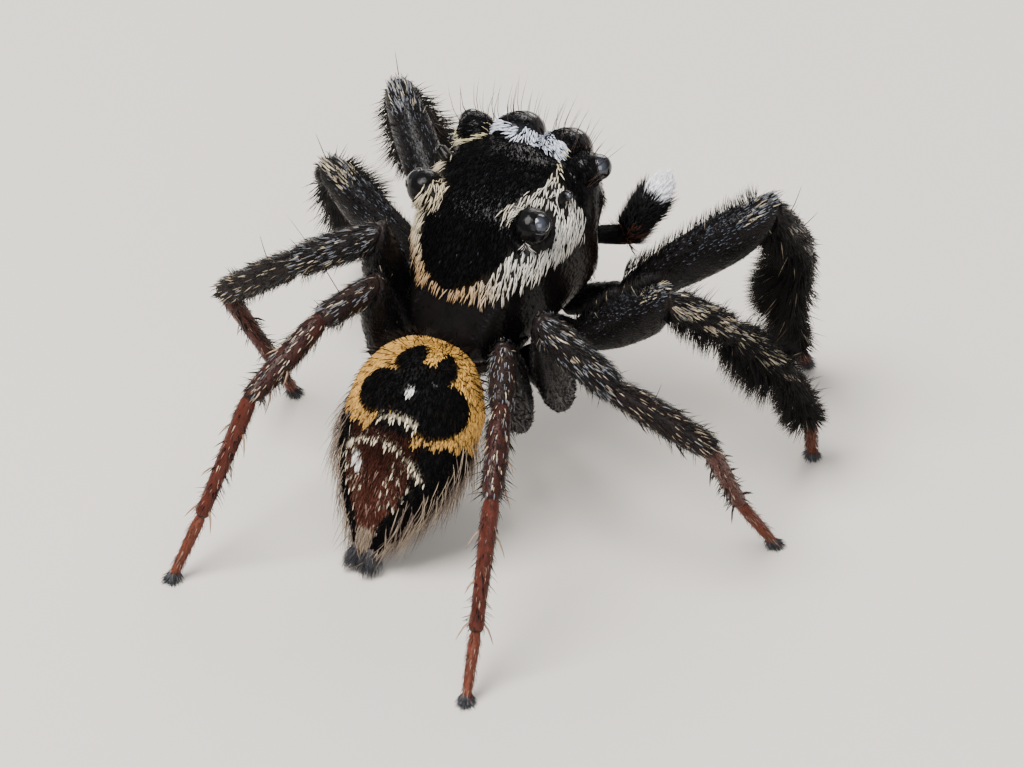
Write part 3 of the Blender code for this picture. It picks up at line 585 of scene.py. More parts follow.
def grow_head_bristles():
    """The table's bristles on both sides with a small random change to each."""
    table = np.array(HEAD_BRISTLES)
    chance = np.random.default_rng(31)
    table = np.concatenate([table, table * [-1, 1, 1, -1, 1, 1]])
    change = chance.normal(0, [0.02, 0.02, 0, 0.2, 0.2, 0.05], table.shape)
    table = np.concatenate([table, table + change])
    way = np.stack([table[:, 3], table[:, 4], np.ones(len(table))], -1)
    back = np.broadcast_to([0.0, -1.0, 0.3], way.shape)
    length = np.clip(table[:, 5] * 1.15, 0.15, 0.42)
    return head_tufts("head_bristles", coat_finish("dark_bristles", 0.35, 0.5), table[:, :3],
                      way, back, length, 0.0085, np.tile([0.030, 0.014, 0.010], (len(table), 1)),
                      np.full((len(table), 2), 0.5), ((0.0, 1.0), (0.35, 0.8), (0.7, 0.5)),
                      1.0, -0.22, 0.03)


bristles = grow_head_bristles()
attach(bristles, "root")


# Eyes: eight clear black lenses set in the mounds, the front middle pair far the
# largest. Each is a polished dome in a raised rim of hard skin, thicker at the rear pair.
EYE_AROUND = 48


def ball_grid(middle, radius, rows=28, columns=EYE_AROUND):
    """Ball: radius times the sine and cosine of latitude and of longitude."""
    up = np.linspace(-np.pi / 2, np.pi / 2, rows)[1:-1, None]
    c, s = circle(columns)
    ball = np.stack([np.cos(up) * c, np.cos(up) * s, np.sin(up) + 0 * c], -1)
    return np.asarray(middle) + radius * ball[::-1]


def rim_grid(middle, axis, radius, thick, rows=14, columns=EYE_AROUND):
    """Ring round an axis: a small circle carried round a larger one."""
    axis = unit(np.asarray(axis, float))
    side = unit(np.cross(axis, UP if abs(axis[2]) < 0.9 else [1.0, 0.0, 0.0]))
    other = np.cross(axis, side)
    a = np.linspace(0, 2 * np.pi, columns + 1)[:, None, None]
    b = np.linspace(0, 2 * np.pi, rows + 1)[None, :, None]
    out = side * np.cos(a) + other * np.sin(a)
    return np.asarray(middle) + out * (radius + thick * np.cos(b)) + axis * (thick * np.sin(b))


def ring_piece(name, grid, colour, finish):
    """A ring closed both ways round, as quads."""
    rows, columns = grid.shape[0] - 1, grid.shape[1] - 1
    i, j = np.meshgrid(np.arange(rows), np.arange(columns), indexing="ij")
    k, m = (i + 1) % rows, (j + 1) % columns
    corners = np.stack([i * columns + j, k * columns + j, k * columns + m, i * columns + m], -1)
    points = grid[:-1, :-1].reshape(-1, 3)
    return mesh_piece(name, points, corners.ravel(), np.full(rows * columns, 4),
                      np.tile(colour, (len(points), 1)), finish)


def lens_finish():
    """Clear black lens with a painted reflection: blue-grey where it faces the viewer, black aslant,
    a polished skin.
    """
    finish = bpy.data.materials.new("black_lens")
    finish.use_nodes = True
    nodes, links = finish.node_tree.nodes, finish.node_tree.links
    shader = nodes["Principled BSDF"]
    place = nodes.new("ShaderNodeTexCoord")
    cloud = nodes.new("ShaderNodeTexNoise")
    cloud.inputs["Scale"].default_value = 6000
    links.new(place.outputs["Object"], cloud.inputs["Vector"])
    painted_reflection_facing = nodes.new("ShaderNodeLayerWeight")
    painted_reflection_facing.inputs["Blend"].default_value = 0.5
    # Painted reflection: the facing share, with a little noise, gives the blue-grey colour at the
    # lens's middle and black towards its edge.
    depth = nodes.new("ShaderNodeMath")
    depth.operation = "MULTIPLY_ADD"
    depth.inputs[1].default_value = 0.12
    links.new(cloud.outputs["Fac"], depth.inputs[0])
    links.new(painted_reflection_facing.outputs["Facing"], depth.inputs[2])
    tone = nodes.new("ShaderNodeValToRGB")
    tone.color_ramp.elements[0].position = 0.08
    tone.color_ramp.elements[0].color = (0.042, 0.048, 0.064, 1)
    tone.color_ramp.elements[1].position = 0.36
    tone.color_ramp.elements[1].color = (0.002, 0.002, 0.003, 1)
    links.new(depth.outputs["Value"], tone.inputs["Fac"])
    links.new(tone.outputs["Color"], shader.inputs["Base Color"])
    shader.inputs["Roughness"].default_value = 0.16
    shader.inputs["Coat Weight"].default_value = 0.25
    shader.inputs["Coat Roughness"].default_value = 0.05
    return finish


lens_black = lens_finish()
rim_black = shell_finish("eye_rim_shell", 0.25, 0.6, 12000, 0.1)
for kind, (lens, radius, mound, mound_radius) in EYE_PLACES.items():
    for side_name, sign in SIDES.items():
        eye_middle = on_side(lens, sign)
        eye_axis = unit(eye_middle - on_side(mound, sign))
        gap = np.linalg.norm(np.array(lens) - np.array(mound))
        ahead = -(gap**2 + radius**2 - mound_radius**2) / (2 * gap)
        ball = ball_grid(eye_middle, radius)
        eye = skin_piece(f"lens_{kind}_{side_name}", from_head(ball),
                         np.full(ball.shape, 0.01), lens_black)
        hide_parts(f"eye_{kind}_{side_name}")
        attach(eye, "root")
        rim_thick = 0.035 * radius + 0.006
        if kind == "rear":
            eye_axis = on_side(REAR_EYE_AIM, sign)
            ahead, rim_thick = 0.055, 0.016
        rim_radius = np.sqrt(max(radius**2 - ahead**2, 0))
        rim = ring_piece(f"eye_rim_{kind}_{side_name}",
                         from_head(rim_grid(eye_middle + eye_axis * ahead, eye_axis,
                                            rim_radius, rim_thick)),
                         SHELL_BLACK, rim_black)
        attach(rim, "root")


# Abdomen: a soft egg of skin bent down behind the waist, its back patterned with a
# golden ring round a velvet black clover, white scale rows and a red-brown middle.
# Long pale hair hangs from its flanks.
ABDOMEN_FRONT = HEAD_PLACE * [1, 1, 0] + [0.23, -0.88, 1.87]
ABDOMEN_TIP = HEAD_PLACE * [1, 1, 0] + [0.19, -2.12, 0.20]
# share of the length, half width, half height above and below the axis
ABDOMEN_STATIONS = (
    (0.008, 0.01, 0.01, 0.01),
    (0.012, 0.14, 0.16, 0.08),
    (0.05, 0.345, 0.365, 0.175),
    (0.14, 0.525, 0.535, 0.295),
    (0.28, 0.645, 0.605, 0.415),
    (0.44, 0.665, 0.565, 0.475),
    (0.60, 0.605, 0.475, 0.445),
    (0.75, 0.455, 0.345, 0.335),
    (0.88, 0.285, 0.205, 0.205),
    (0.96, 0.165, 0.115, 0.105),
    (0.992, 0.115, 0.075, 0.065),
    (0.996, 0.01, 0.01, 0.01),
)
GOLD = np.array([0.64, 0.345, 0.066])
CREAM = np.array([0.72, 0.62, 0.45])
RED_BROWN = np.array([0.085, 0.030, 0.021])
WHITE = np.array([0.80, 0.78, 0.74])
ABDOMEN_TUFTS = 30000
# length and width
ABDOMEN_SCALE_SIZES = {"white": (0.090, 0.0195), "brown": (0.120, 0.0105), "gold": (0.058, 0.0165)}
ABDOMEN_HAIR_LENGTH = 0.062
ABDOMEN_HAIR_WIDTH = 0.012
FLANK_HAIR_WIDTH = 0.0082
FLANK_TUFTS = 15000
ABDOMEN_BRISTLES = 1500


def abdomen_axes():
    """The abdomen's axis, its sideways way (towards the animal's left) and its back."""
    axis = unit(ABDOMEN_TIP - ABDOMEN_FRONT)
    across = unit(np.cross(axis, UP))
    return axis, across, np.cross(across, axis)


def abdomen_grid(rows=150, sides=160):
    """Sections of two half ellipses, taller above than below, blended at the sides."""
    ends = np.array(ABDOMEN_STATIONS)[[0, -1], 0]
    share = ends[0] + (ends[1] - ends[0]) * crowded(rows, 0.85)
    wide, high, low = smooth_through(share, ABDOMEN_STATIONS).T[:, :, None]
    c, s = circle(sides)
    blend = ramp(s, -0.35, 0.35)
    tall = high * blend + low * (1 - blend)
    _axis, across, back = abdomen_axes()
    middle = ABDOMEN_FRONT + share[:, None, None] * (ABDOMEN_TIP - ABDOMEN_FRONT)
    grid = middle + across * (wide * c)[..., None] + back * (tall * s)[..., None]
    return grid


def abdomen_place(points):
    """Share of the length and degrees off the middle of the back, left side positive.

    The pattern's middle line runs a little to the right in front, where the abdomen
    is rolled: it lies at 114 degrees there and at 94 from the middle on.
    """
    axis, across, back = abdomen_axes()
    away = points - ABDOMEN_FRONT
    share = (away @ axis) / np.linalg.norm(ABDOMEN_TIP - ABDOMEN_FRONT)
    angle = np.degrees(np.arctan2(away @ back, away @ across))
    middle = 114 - 20 * np.clip(share / 0.45, 0, 1)
    return share, (middle - angle + 180) % 360 - 180


def spot_share(share, angle, at, turn, long, wide, soft=0.12):
    """1 inside an ellipse of the back, 0 outside, with a soft edge."""
    far = np.hypot((share - at) / long, (angle - turn) / wide)
    return 1 - ramp(far, 1 - soft, 1 + soft)


def abdomen_marks(share, angle):
    """Shares of the clover, golden ring, cream rows, red-brown middle and belly."""
    clover = np.maximum.reduce([
        spot_share(share, angle, 0.098, 18, 0.064, 15, 0.06),
        spot_share(share, angle, 0.102, -23, 0.068, 14, 0.06),
        spot_share(share, angle, 0.277, 25, 0.112, 23, 0.06),
        spot_share(share, angle, 0.284, -36, 0.130, 28, 0.06),
        spot_share(share, angle, 0.225, -4, 0.125, 30, 0.06),
    ])
    wave = 0.012 * np.sin(angle * 0.35) + 0.008 * np.sin(angle * 0.9 + 1)
    lower = 0.435 + wave + 0.03 * np.cos(np.radians(angle * 2))
    open_gap = ramp(angle, -30, -22) * (1 - ramp(angle, 10, 18))
    lower = lower - 0.13 * open_gap
    gold = ramp(lower - share, -0.008, 0.012) * (1 - clover)
    gold = gold * (1 - ramp(np.abs(angle), 96, 112))
    row = share - (0.362 + 0.00008 * (angle + 10) ** 2)
    cream = (1 - ramp(np.abs(row), 0.010, 0.022)) * ramp(angle, -30, -24)
    cream = cream * (1 - ramp(angle, 8, 14))
    arc = share - (0.485 + 0.000042 * angle**2)
    chevron = (1 - ramp(np.abs(arc), 0.010, 0.024)) * (1 - ramp(np.abs(angle + 2), 46, 56))
    edge = 36 + 6 * ramp(share, 0.5, 0.6) - 20 * ramp(share, 0.70, 0.92)
    inside = ramp(share, 0.40, 0.46) * (1 - ramp(np.abs(angle), edge - 6, edge + 6))
    rows = 0.5 + 0.5 * np.sin((share - 0.02 * np.abs(angle) / 10) * 2 * np.pi / 0.055)
    flecks = ramp(rows, 0.60, 0.90) * spot_share(share, np.abs(angle), 0.665, 32, 0.125, 16, 0.3)
    patch = spot_share(share, angle, 0.61, 26, 0.035, 9, 0.3)
    white = np.maximum(patch, np.maximum(spot_share(share, angle, 0.238, -3, 0.022, 4.2, 0.2),
                                         spot_share(share, angle, 0.18, -19, 0.008, 1.7, 0.2) * 0.4))
    tuft = ramp(share, 0.85, 0.90) * (1 - ramp(np.abs(angle), 16, 40)) * (1 - ramp(share, 0.97, 1))
    belly = ramp(np.abs(angle), 84, 104)
    return {"clover": clover, "gold": gold, "cream": np.maximum(cream, chevron * 0.95),
            "red": inside, "flecks": flecks, "white": white, "tuft": tuft, "belly": belly}


def abdomen_colour(share, angle, chance=None):
    """The marks laid one over another, from black up to the white spots."""
    marks = abdomen_marks(share, angle)
    colour = np.broadcast_to(HAIR_BLACK, share.shape + (3,)).copy()
    darker = 1 - 0.25 * ramp(share, 0.30, 0.42)[..., None]
    maroon = RED_BROWN * (0.35 + 0.65 * ramp(share, 0.48, 0.75)[..., None])
    for mark, tint in (("belly", np.array([0.030, 0.022, 0.017])), ("red", maroon),
                       ("gold", GOLD * darker), ("cream", CREAM), ("flecks", CREAM * 0.9),
                       ("tuft", np.array([0.24, 0.18, 0.125])), ("white", WHITE)):
        weight = marks[mark][..., None]
        if chance is not None:
            weight = (chance.random(weight.shape) < weight).astype(float)
        colour = colour * (1 - weight) + tint * weight
    return colour, marks


abdomen_skin = abdomen_grid()
skin_colour, _marks = abdomen_colour(*abdomen_place(abdomen_skin))
abdomen = skin_piece("abdomen_skin", abdomen_skin, skin_colour * 0.35,
                     shell_finish("abdomen_skin", 0.7, 0.0, 12000, 0.4))
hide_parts("abdomen")
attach(abdomen, "root")


def abdomen_flow(points, normal, chance, lift, loose):
    """The lie of the coat: back towards the spinnerets, a little out to the sides."""
    axis, across, _back = abdomen_axes()
    away = points - ABDOMEN_FRONT
    sideways = across * (away @ across)[:, None] * 0.25
    way = axis + sideways + chance.normal(0, loose, points.shape)
    way = unit(way - normal * (way * normal).sum(-1, keepdims=True))
    return unit(way + normal * lift)


def abdomen_coat(chance):
    """Scales and short hair, each by the marks' share at its place."""
    place, normal, _along, spot = scatter(abdomen_skin, int(ABDOMEN_TUFTS * DENSITY), 42)
    share, angle = abdomen_place(place)
    colour, marks = abdomen_colour(share, angle, chance)
    bright = colour.max(-1) > 0.2
    light = colour[:, 2] > 0.2
    dense = np.where(light, 0.165 + 0.25 * marks["white"], 0.90)
    keep = bright & (chance.random(len(place)) < dense)
    p, n, s, light = place[keep], normal[keep], spot[keep], light[keep]
    tuft = marks["tuft"][keep] > 0.2
    length, width = (np.where(light, white, np.where(tuft, brown, gold))
                     for white, brown, gold in zip(*ABDOMEN_SCALE_SIZES.values()))
    length = length * chance.uniform(0.8, 1.2, len(p))
    way = abdomen_flow(p, n, chance, chance.uniform(0.12, 0.34, (len(p), 1)), 0.13)
    scales = tufts("abdomen_scales", pale_scales, p, way, n, length, width,
                   shaded(colour[keep], chance, 0.38), s, SCALE, 0.32, -0.06)
    keep = ~bright & (chance.random(len(place)) < 0.80)
    p, n, s = place[keep], normal[keep], spot[keep]
    way = abdomen_flow(p, n, chance, chance.uniform(0.15, 0.45, (len(p), 1)), 0.15)
    length = ABDOMEN_HAIR_LENGTH * chance.uniform(0.7, 1.3, len(p)) * (1 + 0.6 * marks["red"][keep])
    pink = (chance.random(len(p)) < 0.05) & (marks["red"][keep] > 0.5) & (share[keep] > 0.60)
    tint = np.where(pink[:, None], [0.24, 0.14, 0.115], colour[keep])
    hair = tufts("abdomen_hair", velvet_hair, p, way, n, length * (1 + 0.4 * pink),
                 ABDOMEN_HAIR_WIDTH, shaded(tint, chance, 0.4), s)
    return scales, hair


def flank_hair(chance):
    """Long pale hair that hangs from the flanks and the belly."""
    place, normal, _along, spot = scatter(abdomen_skin, int(FLANK_TUFTS * DENSITY), 43)
    share, angle = abdomen_place(place)
    off = np.abs(angle) + np.where(angle > 0, 22, 20 * ramp(share, 0.52, 0.75))
    flank = ramp(off, 62, 96) * ramp(share, 0.28, 0.45) * (1 - 0.5 * ramp(np.abs(angle), 130, 175))
    keep = chance.random(len(place)) < flank * 0.27
    p, n, s, a = place[keep], normal[keep], spot[keep], angle[keep]
    lift = chance.uniform(0.18, 0.70, (len(p), 1))
    way = abdomen_flow(p, n, chance, lift, 0.20)
    way[:, 2] -= 0.16
    length = chance.uniform(0.22, 0.45, len(p)) * (1 - 0.35 * ramp(np.abs(a), 130, 170))
    tip = p + unit(way) * length[:, None]
    length = np.where(tip[:, 2] < 0.03, length * 0.4, length)
    tint = np.where(chance.random((len(p), 1)) < 0.55, [0.30, 0.23, 0.16], [0.12, 0.085, 0.065])
    return tufts("abdomen_flank_hair", coat_finish("pale_flank_hair", 0.45, 0.4), p, way, n,
                 length, FLANK_HAIR_WIDTH, shaded(tint, chance, 0.4), s,
                 ((0.0, 1.0), (0.35, 0.9), (0.7, 0.55)), 0.8, -0.18)


def abdomen_bristles(chance):
    """Single dark bristles over the back, longer at the front end."""
    place, normal, _along, spot = scatter(abdomen_skin, ABDOMEN_BRISTLES, 44)
    share, angle = abdomen_place(place)
    front = share < 0.17
    keep = (np.abs(angle) < 95) & (share < 0.9) & (front | (chance.random(len(place)) < 0.55))
    p, n, s, front = place[keep], normal[keep], spot[keep], front[keep]
    lift = chance.uniform(0.5, 0.9, (len(p), 1)) + front[:, None] * 0.7
    way = abdomen_flow(p, n, chance, lift, 0.3)
    length = chance.uniform(0.07, 0.12, len(p)) + 0.08 * front
    return tufts("abdomen_bristles", velvet_hair, p, way, n, length, 0.010,
                 np.tile([0.012, 0.008, 0.006], (len(p), 1)), s, ((0.0, 1.0), (0.5, 0.7)), 1.0, -0.15)


abdomen_chance = np.random.default_rng(41)
for piece in (*abdomen_coat(abdomen_chance), flank_hair(abdomen_chance),
              abdomen_bristles(abdomen_chance)):
    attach(piece, "root")


# Legs: stiff hairy tubes, each a coxa, femur, patella, tibia, metatarsus and tarsus,
# joined by narrow rings of dull soft skin. The femora are deep and black, the hind
# feet red-brown, and the front legs carry a dense black fringe underneath.
COXA_INNER = 0.36
COXA_FORWARD = {1: 0.42, 2: 0.08, 3: -0.26, 4: -0.60}
COXA_LEVEL = -1.56
JOINTS = ("coxa", "femur", "patella", "tibia", "metatarsus", "tarsus")
LEG_LENGTHS = {
    1: (1.67, 0.79, 0.81, 0.78, 0.49),
    2: (1.39, 0.73, 0.81, 0.83, 0.51),
    3: (1.66, 0.81, 1.05, 1.09, 0.60),
    4: (1.50, 0.61, 0.99, 1.24, 0.63),
}
LEG_RADII = {
    1: (0.150, 0.205, 0.145, 0.125, 0.088, 0.060),
    2: (0.150, 0.185, 0.135, 0.118, 0.082, 0.056),
    3: (0.150, 0.190, 0.160, 0.136, 0.090, 0.060),
    4: (0.150, 0.170, 0.133, 0.115, 0.086, 0.058),
}
# Degrees: azimuth from straight out to the side towards the front, elevation
LEG_DIRECTIONS = {
    ("right", 1): ((32, 35), (82, -57), (139, -68), (118, -69), 103),
    ("right", 2): ((-7, 39), (48, -36), (54, -46), (87, -64), 110),
    ("right", 3): ((-62, 55), (3, -29), (20, -29), (93, -60), 46),
    ("right", 4): ((-66, 56), (-57, -15), (-61, -23), (-71, -64), -68),
    ("left", 1): ((35, 29), (63, -46), (70, -53), (86, -67), 89),
    ("left", 2): ((0, 34), (56, -41), (70, -47), (76, -56), 73),
    ("left", 3): ((-99, 64), (-28, -25), (0, -39), (109, -62), 100),
    ("left", 4): ((-101, 66), (-73, -10), (-74, -31), (-70, -63), -78),
}
# Hip in the head's axes: out to the side, forward, up
LEG_HIPS = {
    ("right", 1): (0.90, 0.70, -1.46),
    ("right", 2): (0.80, 0.10, -1.50),
    ("right", 3): (0.84, -0.42, -1.775),
    ("right", 4): (0.68, -0.84, -1.755),
    ("left", 1): (0.94, 0.52, -1.46),
    ("left", 2): (0.90, 0.10, -1.48),
    ("left", 3): (0.90, -0.36, -1.715),
    ("left", 4): (0.66, -0.88, -1.735),
}
FOOT_HEIGHT = 0.050
# place along the joint and share of its radius
JOINT_PROFILES = {
    "coxa": ((0.0, 0.5), (0.06, 0.84), (0.35, 0.95), (0.7, 0.86), (0.93, 0.80), (1.0, 0.66)),
    "femur": ((0.0, 0.66), (0.05, 0.76), (0.14, 0.84), (0.38, 0.96), (0.66, 0.96), (0.88, 0.85),
              (0.97, 0.74), (1.0, 0.52)),
    "patella": ((0.0, 0.60), (0.05, 0.80), (0.22, 0.94), (0.72, 0.95), (0.96, 0.80), (1.0, 0.60)),
    "tibia": ((0.0, 0.60), (0.04, 0.76), (0.18, 0.90), (0.5, 0.95), (0.84, 0.87), (0.97, 0.74),
              (1.0, 0.55)),
    "metatarsus": ((0.0, 0.68), (0.04, 0.88), (0.14, 0.95), (0.5, 0.86), (0.88, 0.78),
                   (0.97, 0.82), (1.0, 0.60)),
    "tarsus": ((0.0, 0.70), (0.05, 0.86), (0.2, 0.95), (0.6, 0.86), (0.94, 0.70), (1.0, 0.35)),
}
SLIM_FEMUR = ((0.0, 0.48), (0.05, 0.58), (0.14, 0.68), (0.38, 0.88), (0.66, 0.96), (0.88, 0.85),
              (0.97, 0.74), (1.0, 0.52))
JOINT_DEPTH = (1.0, 1.16, 1.0, 1.04, 1.0, 1.0)
FEMUR_KEEL = {1: 0.05, 2: 0.05, 3: 0.11, 4: 0.09}
ROWS_PER_JOINT = 26
MEMBRANE = np.array([0.014, 0.009, 0.008])
LEG_GROUPS = {1: "front", 2: "front", 3: "third", 4: "fourth"}
JOINT_SHADES = {
    "front": (SHELL_BLACK, SHELL_BLACK, (0.008, 0.006, 0.005), (0.007, 0.005, 0.0045),
              (0.036, 0.013, 0.008), (0.200, 0.062, 0.026)),
    "third": (SHELL_BLACK, SHELL_BLACK, (0.010, 0.007, 0.007), (0.012, 0.007, 0.006),
              (0.060, 0.015, 0.010), (0.105, 0.029, 0.017)),
    "fourth": (SHELL_BLACK, SHELL_BLACK, (0.018, 0.010, 0.008), (0.036, 0.013, 0.010),
               (0.070, 0.017, 0.011), (0.110, 0.031, 0.018)),
}


def direction(side, azimuth, elevation):
    """Unit way: out = cos a cos e, forward = sin a cos e, up = sin e."""
    a, e = np.radians(azimuth), np.radians(elevation)
    return np.array([SIDES[side] * np.cos(a) * np.cos(e), np.sin(a) * np.cos(e), np.sin(e)])


def leg_points(side, number):
    """Inner end of the coxa, hip, and the end of each joint down to the foot."""
    sign = SIDES[side]
    inner = (COXA_INNER, COXA_FORWARD[number], COXA_LEVEL)
    points = [from_head(on_side(inner, sign)), from_head(on_side(LEG_HIPS[side, number], sign))]
    lengths = LEG_LENGTHS[number]
    for (azimuth, elevation), length in zip(LEG_DIRECTIONS[side, number][:4], lengths):
        points.append(points[-1] + direction(side, azimuth, elevation) * length)
    drop = (points[-1][2] - FOOT_HEIGHT) / lengths[4]
    slope = -np.degrees(np.arcsin(min(0.98, drop)))
    last = direction(side, LEG_DIRECTIONS[side, number][4], slope)
    return np.array(points + [points[-1] + last * lengths[4]])


def turned(vector, start, end):
    """The vector turned by the smallest turn that takes one unit way to another."""
    axis = np.cross(start, end)
    c = start @ end
    return vector * c + np.cross(axis, vector) + axis * (axis @ vector) / (1 + c)


def limb_frames(points):
    """Unit way, sideways and back of each joint, carried on with the least twist."""
    ways = unit(np.diff(points, axis=0))
    side = [None] * len(ways)
    main = 1 if len(ways) > 2 else 0
    side[main] = unit(np.cross(ways[main], UP))
    for i in range(main + 1, len(ways)):
        side[i] = turned(side[i - 1], ways[i - 1], ways[i])
    for i in range(main - 1, -1, -1):
        side[i] = turned(side[i + 1], ways[i + 1], ways[i])
    side = np.array(side)
    return ways, side, np.cross(side, ways)


def limb_grid(points, radii, profiles, depths, keels, rows=ROWS_PER_JOINT, sides=28):
    """Rings along a bent limb: radius times the joint's profile, in the mitre planes.

    A ring is c + r cos v sideways + (r d sin v - k sin^1.5) back, slid along the
    joint until it lies in a plane that turns into the mitre plane near each end.
    """
    ways, side, back = limb_frames(points)
    v = np.linspace(0, 2 * np.pi, sides + 1)[None, :, None]
    grids, joint_of, place_of = [], [], []
    for i, way in enumerate(ways):
        t = crowded(rows, 0.75)[1 if i else 0:]
        start, length = points[i], np.linalg.norm(points[i + 1] - points[i])
        before = unit(ways[i - 1] + way) if i else way
        after = unit(ways[i + 1] + way) if i + 1 < len(ways) else way
        reach = max(0.22 * length, 2.0 * radii[i])
        near = np.maximum(0, 1 - t * length / reach)[:, None]
        far = np.maximum(0, 1 - (1 - t) * length / reach)[:, None]
        cut = unit(way + (before - way) * near + (after - way) * far)[:, None, :]
        radius = radii[i] * smooth_through(t, profiles[i])[:, None, :]
        under = keels[i] * np.sin(np.pi * t)[:, None, None] * np.maximum(0, -np.sin(v)) ** 1.5
        offset = side[i] * (radius * np.cos(v)) + back[i] * (radius * depths[i] * np.sin(v) - under)
        slide = (offset * cut).sum(-1, keepdims=True) / (cut @ way)[..., None]
        grids.append(start + way * (t * length)[:, None, None] + offset - way * slide)
        joint_of.append(np.full(len(t), i))
        place_of.append(t)
    return np.concatenate(grids), np.concatenate(joint_of), np.concatenate(place_of)


def limb_back(points, joint, body):
    """Way that a joint's back faces: from the body out to its middle, square to it."""
    way = unit(points[joint + 1] - points[joint])
    away = (points[joint] + points[joint + 1]) / 2 - body
    away = away - way * (away @ way)
    if np.linalg.norm(away) < 0.2:
        away = np.cross(np.cross(way, UP), way)
    return unit(away)


leg_shell = shell_finish("hairy_leg_shell", 0.30, 0.0, 14000, 0.35)
leg_hair = coat_finish("dark_leg_hair", 0.45, 0.22)
fringe_hair = coat_finish("black_fringe_hair", 0.65, 0.15)
legs = {}
for leg_side in SIDES:
    for leg_number in (1, 2, 3, 4):
        stem = f"leg_{leg_side}_{leg_number}"
        stops = leg_points(leg_side, leg_number)
        leg_grid, leg_joint, leg_place = limb_grid(
            stops, LEG_RADII[leg_number],
            [SLIM_FEMUR if leg_number == 1 and joint == "femur" else JOINT_PROFILES[joint]
             for joint in JOINTS],
            JOINT_DEPTH, (0, FEMUR_KEEL[leg_number], 0, 0, 0, 0))
        tones = np.array(JOINT_SHADES[LEG_GROUPS[leg_number]])[leg_joint]
        soft = 1 - ramp(np.minimum(leg_place, 1 - leg_place), 0.004, 0.014)[:, None]
        soft = soft * (leg_joint[:, None] > 0)
        tones = tones * (1 - soft) + MEMBRANE * soft
        leg_shade = np.repeat(tones[:, None, :], leg_grid.shape[1], 1)
        leg = skin_piece(f"{stem}_skin", leg_grid, leg_shade, leg_shell)
        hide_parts(*[f"{stem}_{joint}" for joint in JOINTS[1:]])
        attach(leg, "root")
        legs[leg_side, leg_number] = (stops, leg_grid, leg_joint, leg_place)


# Coat of the legs: cream and blue-grey scales laid along the backs of the patellae
# and tibiae in stripes, short black hair on the rest, fine pale hair on the hind feet.
BLUE_GREY = np.array([0.15, 0.16, 0.18])
LEG_CREAM = np.array([0.62, 0.52, 0.36])
LEG_TUFTS = 11500
STRIPE_LEAN = 0.35      # how far the pale stripe lies behind the middle of a joint's back
LEG_SCALE_LENGTH = 0.100
LEG_SCALE_WIDTH = 0.0122
LEG_HAIR_WIDTH = 0.0095
FLOOR_GAP = 0.004       # least height of a hair's tip
# Share of places that bear a pale scale, by joint from coxa to tarsus
SCALE_SHARE = {
    1: (0.0, 0.0, 0.20, 0.07, 0.03, 0.0),
    2: (0.0, 0.0, 0.42, 0.40, 0.06, 0.0),
    3: (0.0, 0.0, 0.17, 0.040, 0.004, 0.0),
    4: (0.0, 0.0, 0.14, 0.075, 0.004, 0.0),
}
# By joint: share of places that bear a hair, its length and how far it is lifted
FRONT_HAIR = ((0.4, 0.06, 0.3), (0.80, 0.060, 0.13), (0.95, 0.115, 0.42), (0.95, 0.130, 0.48),
              (0.95, 0.125, 0.55), (0.9, 0.085, 0.45))
HAIR_TABLE = {
    1: FRONT_HAIR,
    2: FRONT_HAIR,
    3: ((0.4, 0.06, 0.3), (0.60, 0.075, 0.24), (0.90, 0.115, 0.34), (0.80, 0.110, 0.34),
        (0.26, 0.090, 0.32), (0.50, 0.095, 0.36)),
    4: ((0.4, 0.06, 0.3), (0.60, 0.075, 0.24), (0.50, 0.080, 0.30), (0.42, 0.085, 0.28),
        (0.24, 0.085, 0.28), (0.50, 0.095, 0.32)),
}


def limb_seed(side, number):
    """The part of a random seed that belongs to one leg."""
    return number * 10 + (5 if side == "left" else 0)


def joint_at(spot, grid, joint_rows, place_rows):
    """The joint of each scattered place and the place along it."""
    row = (spot[:, 0] * (len(grid) - 1)).astype(int) + 1
    return joint_rows[row], place_rows[row]


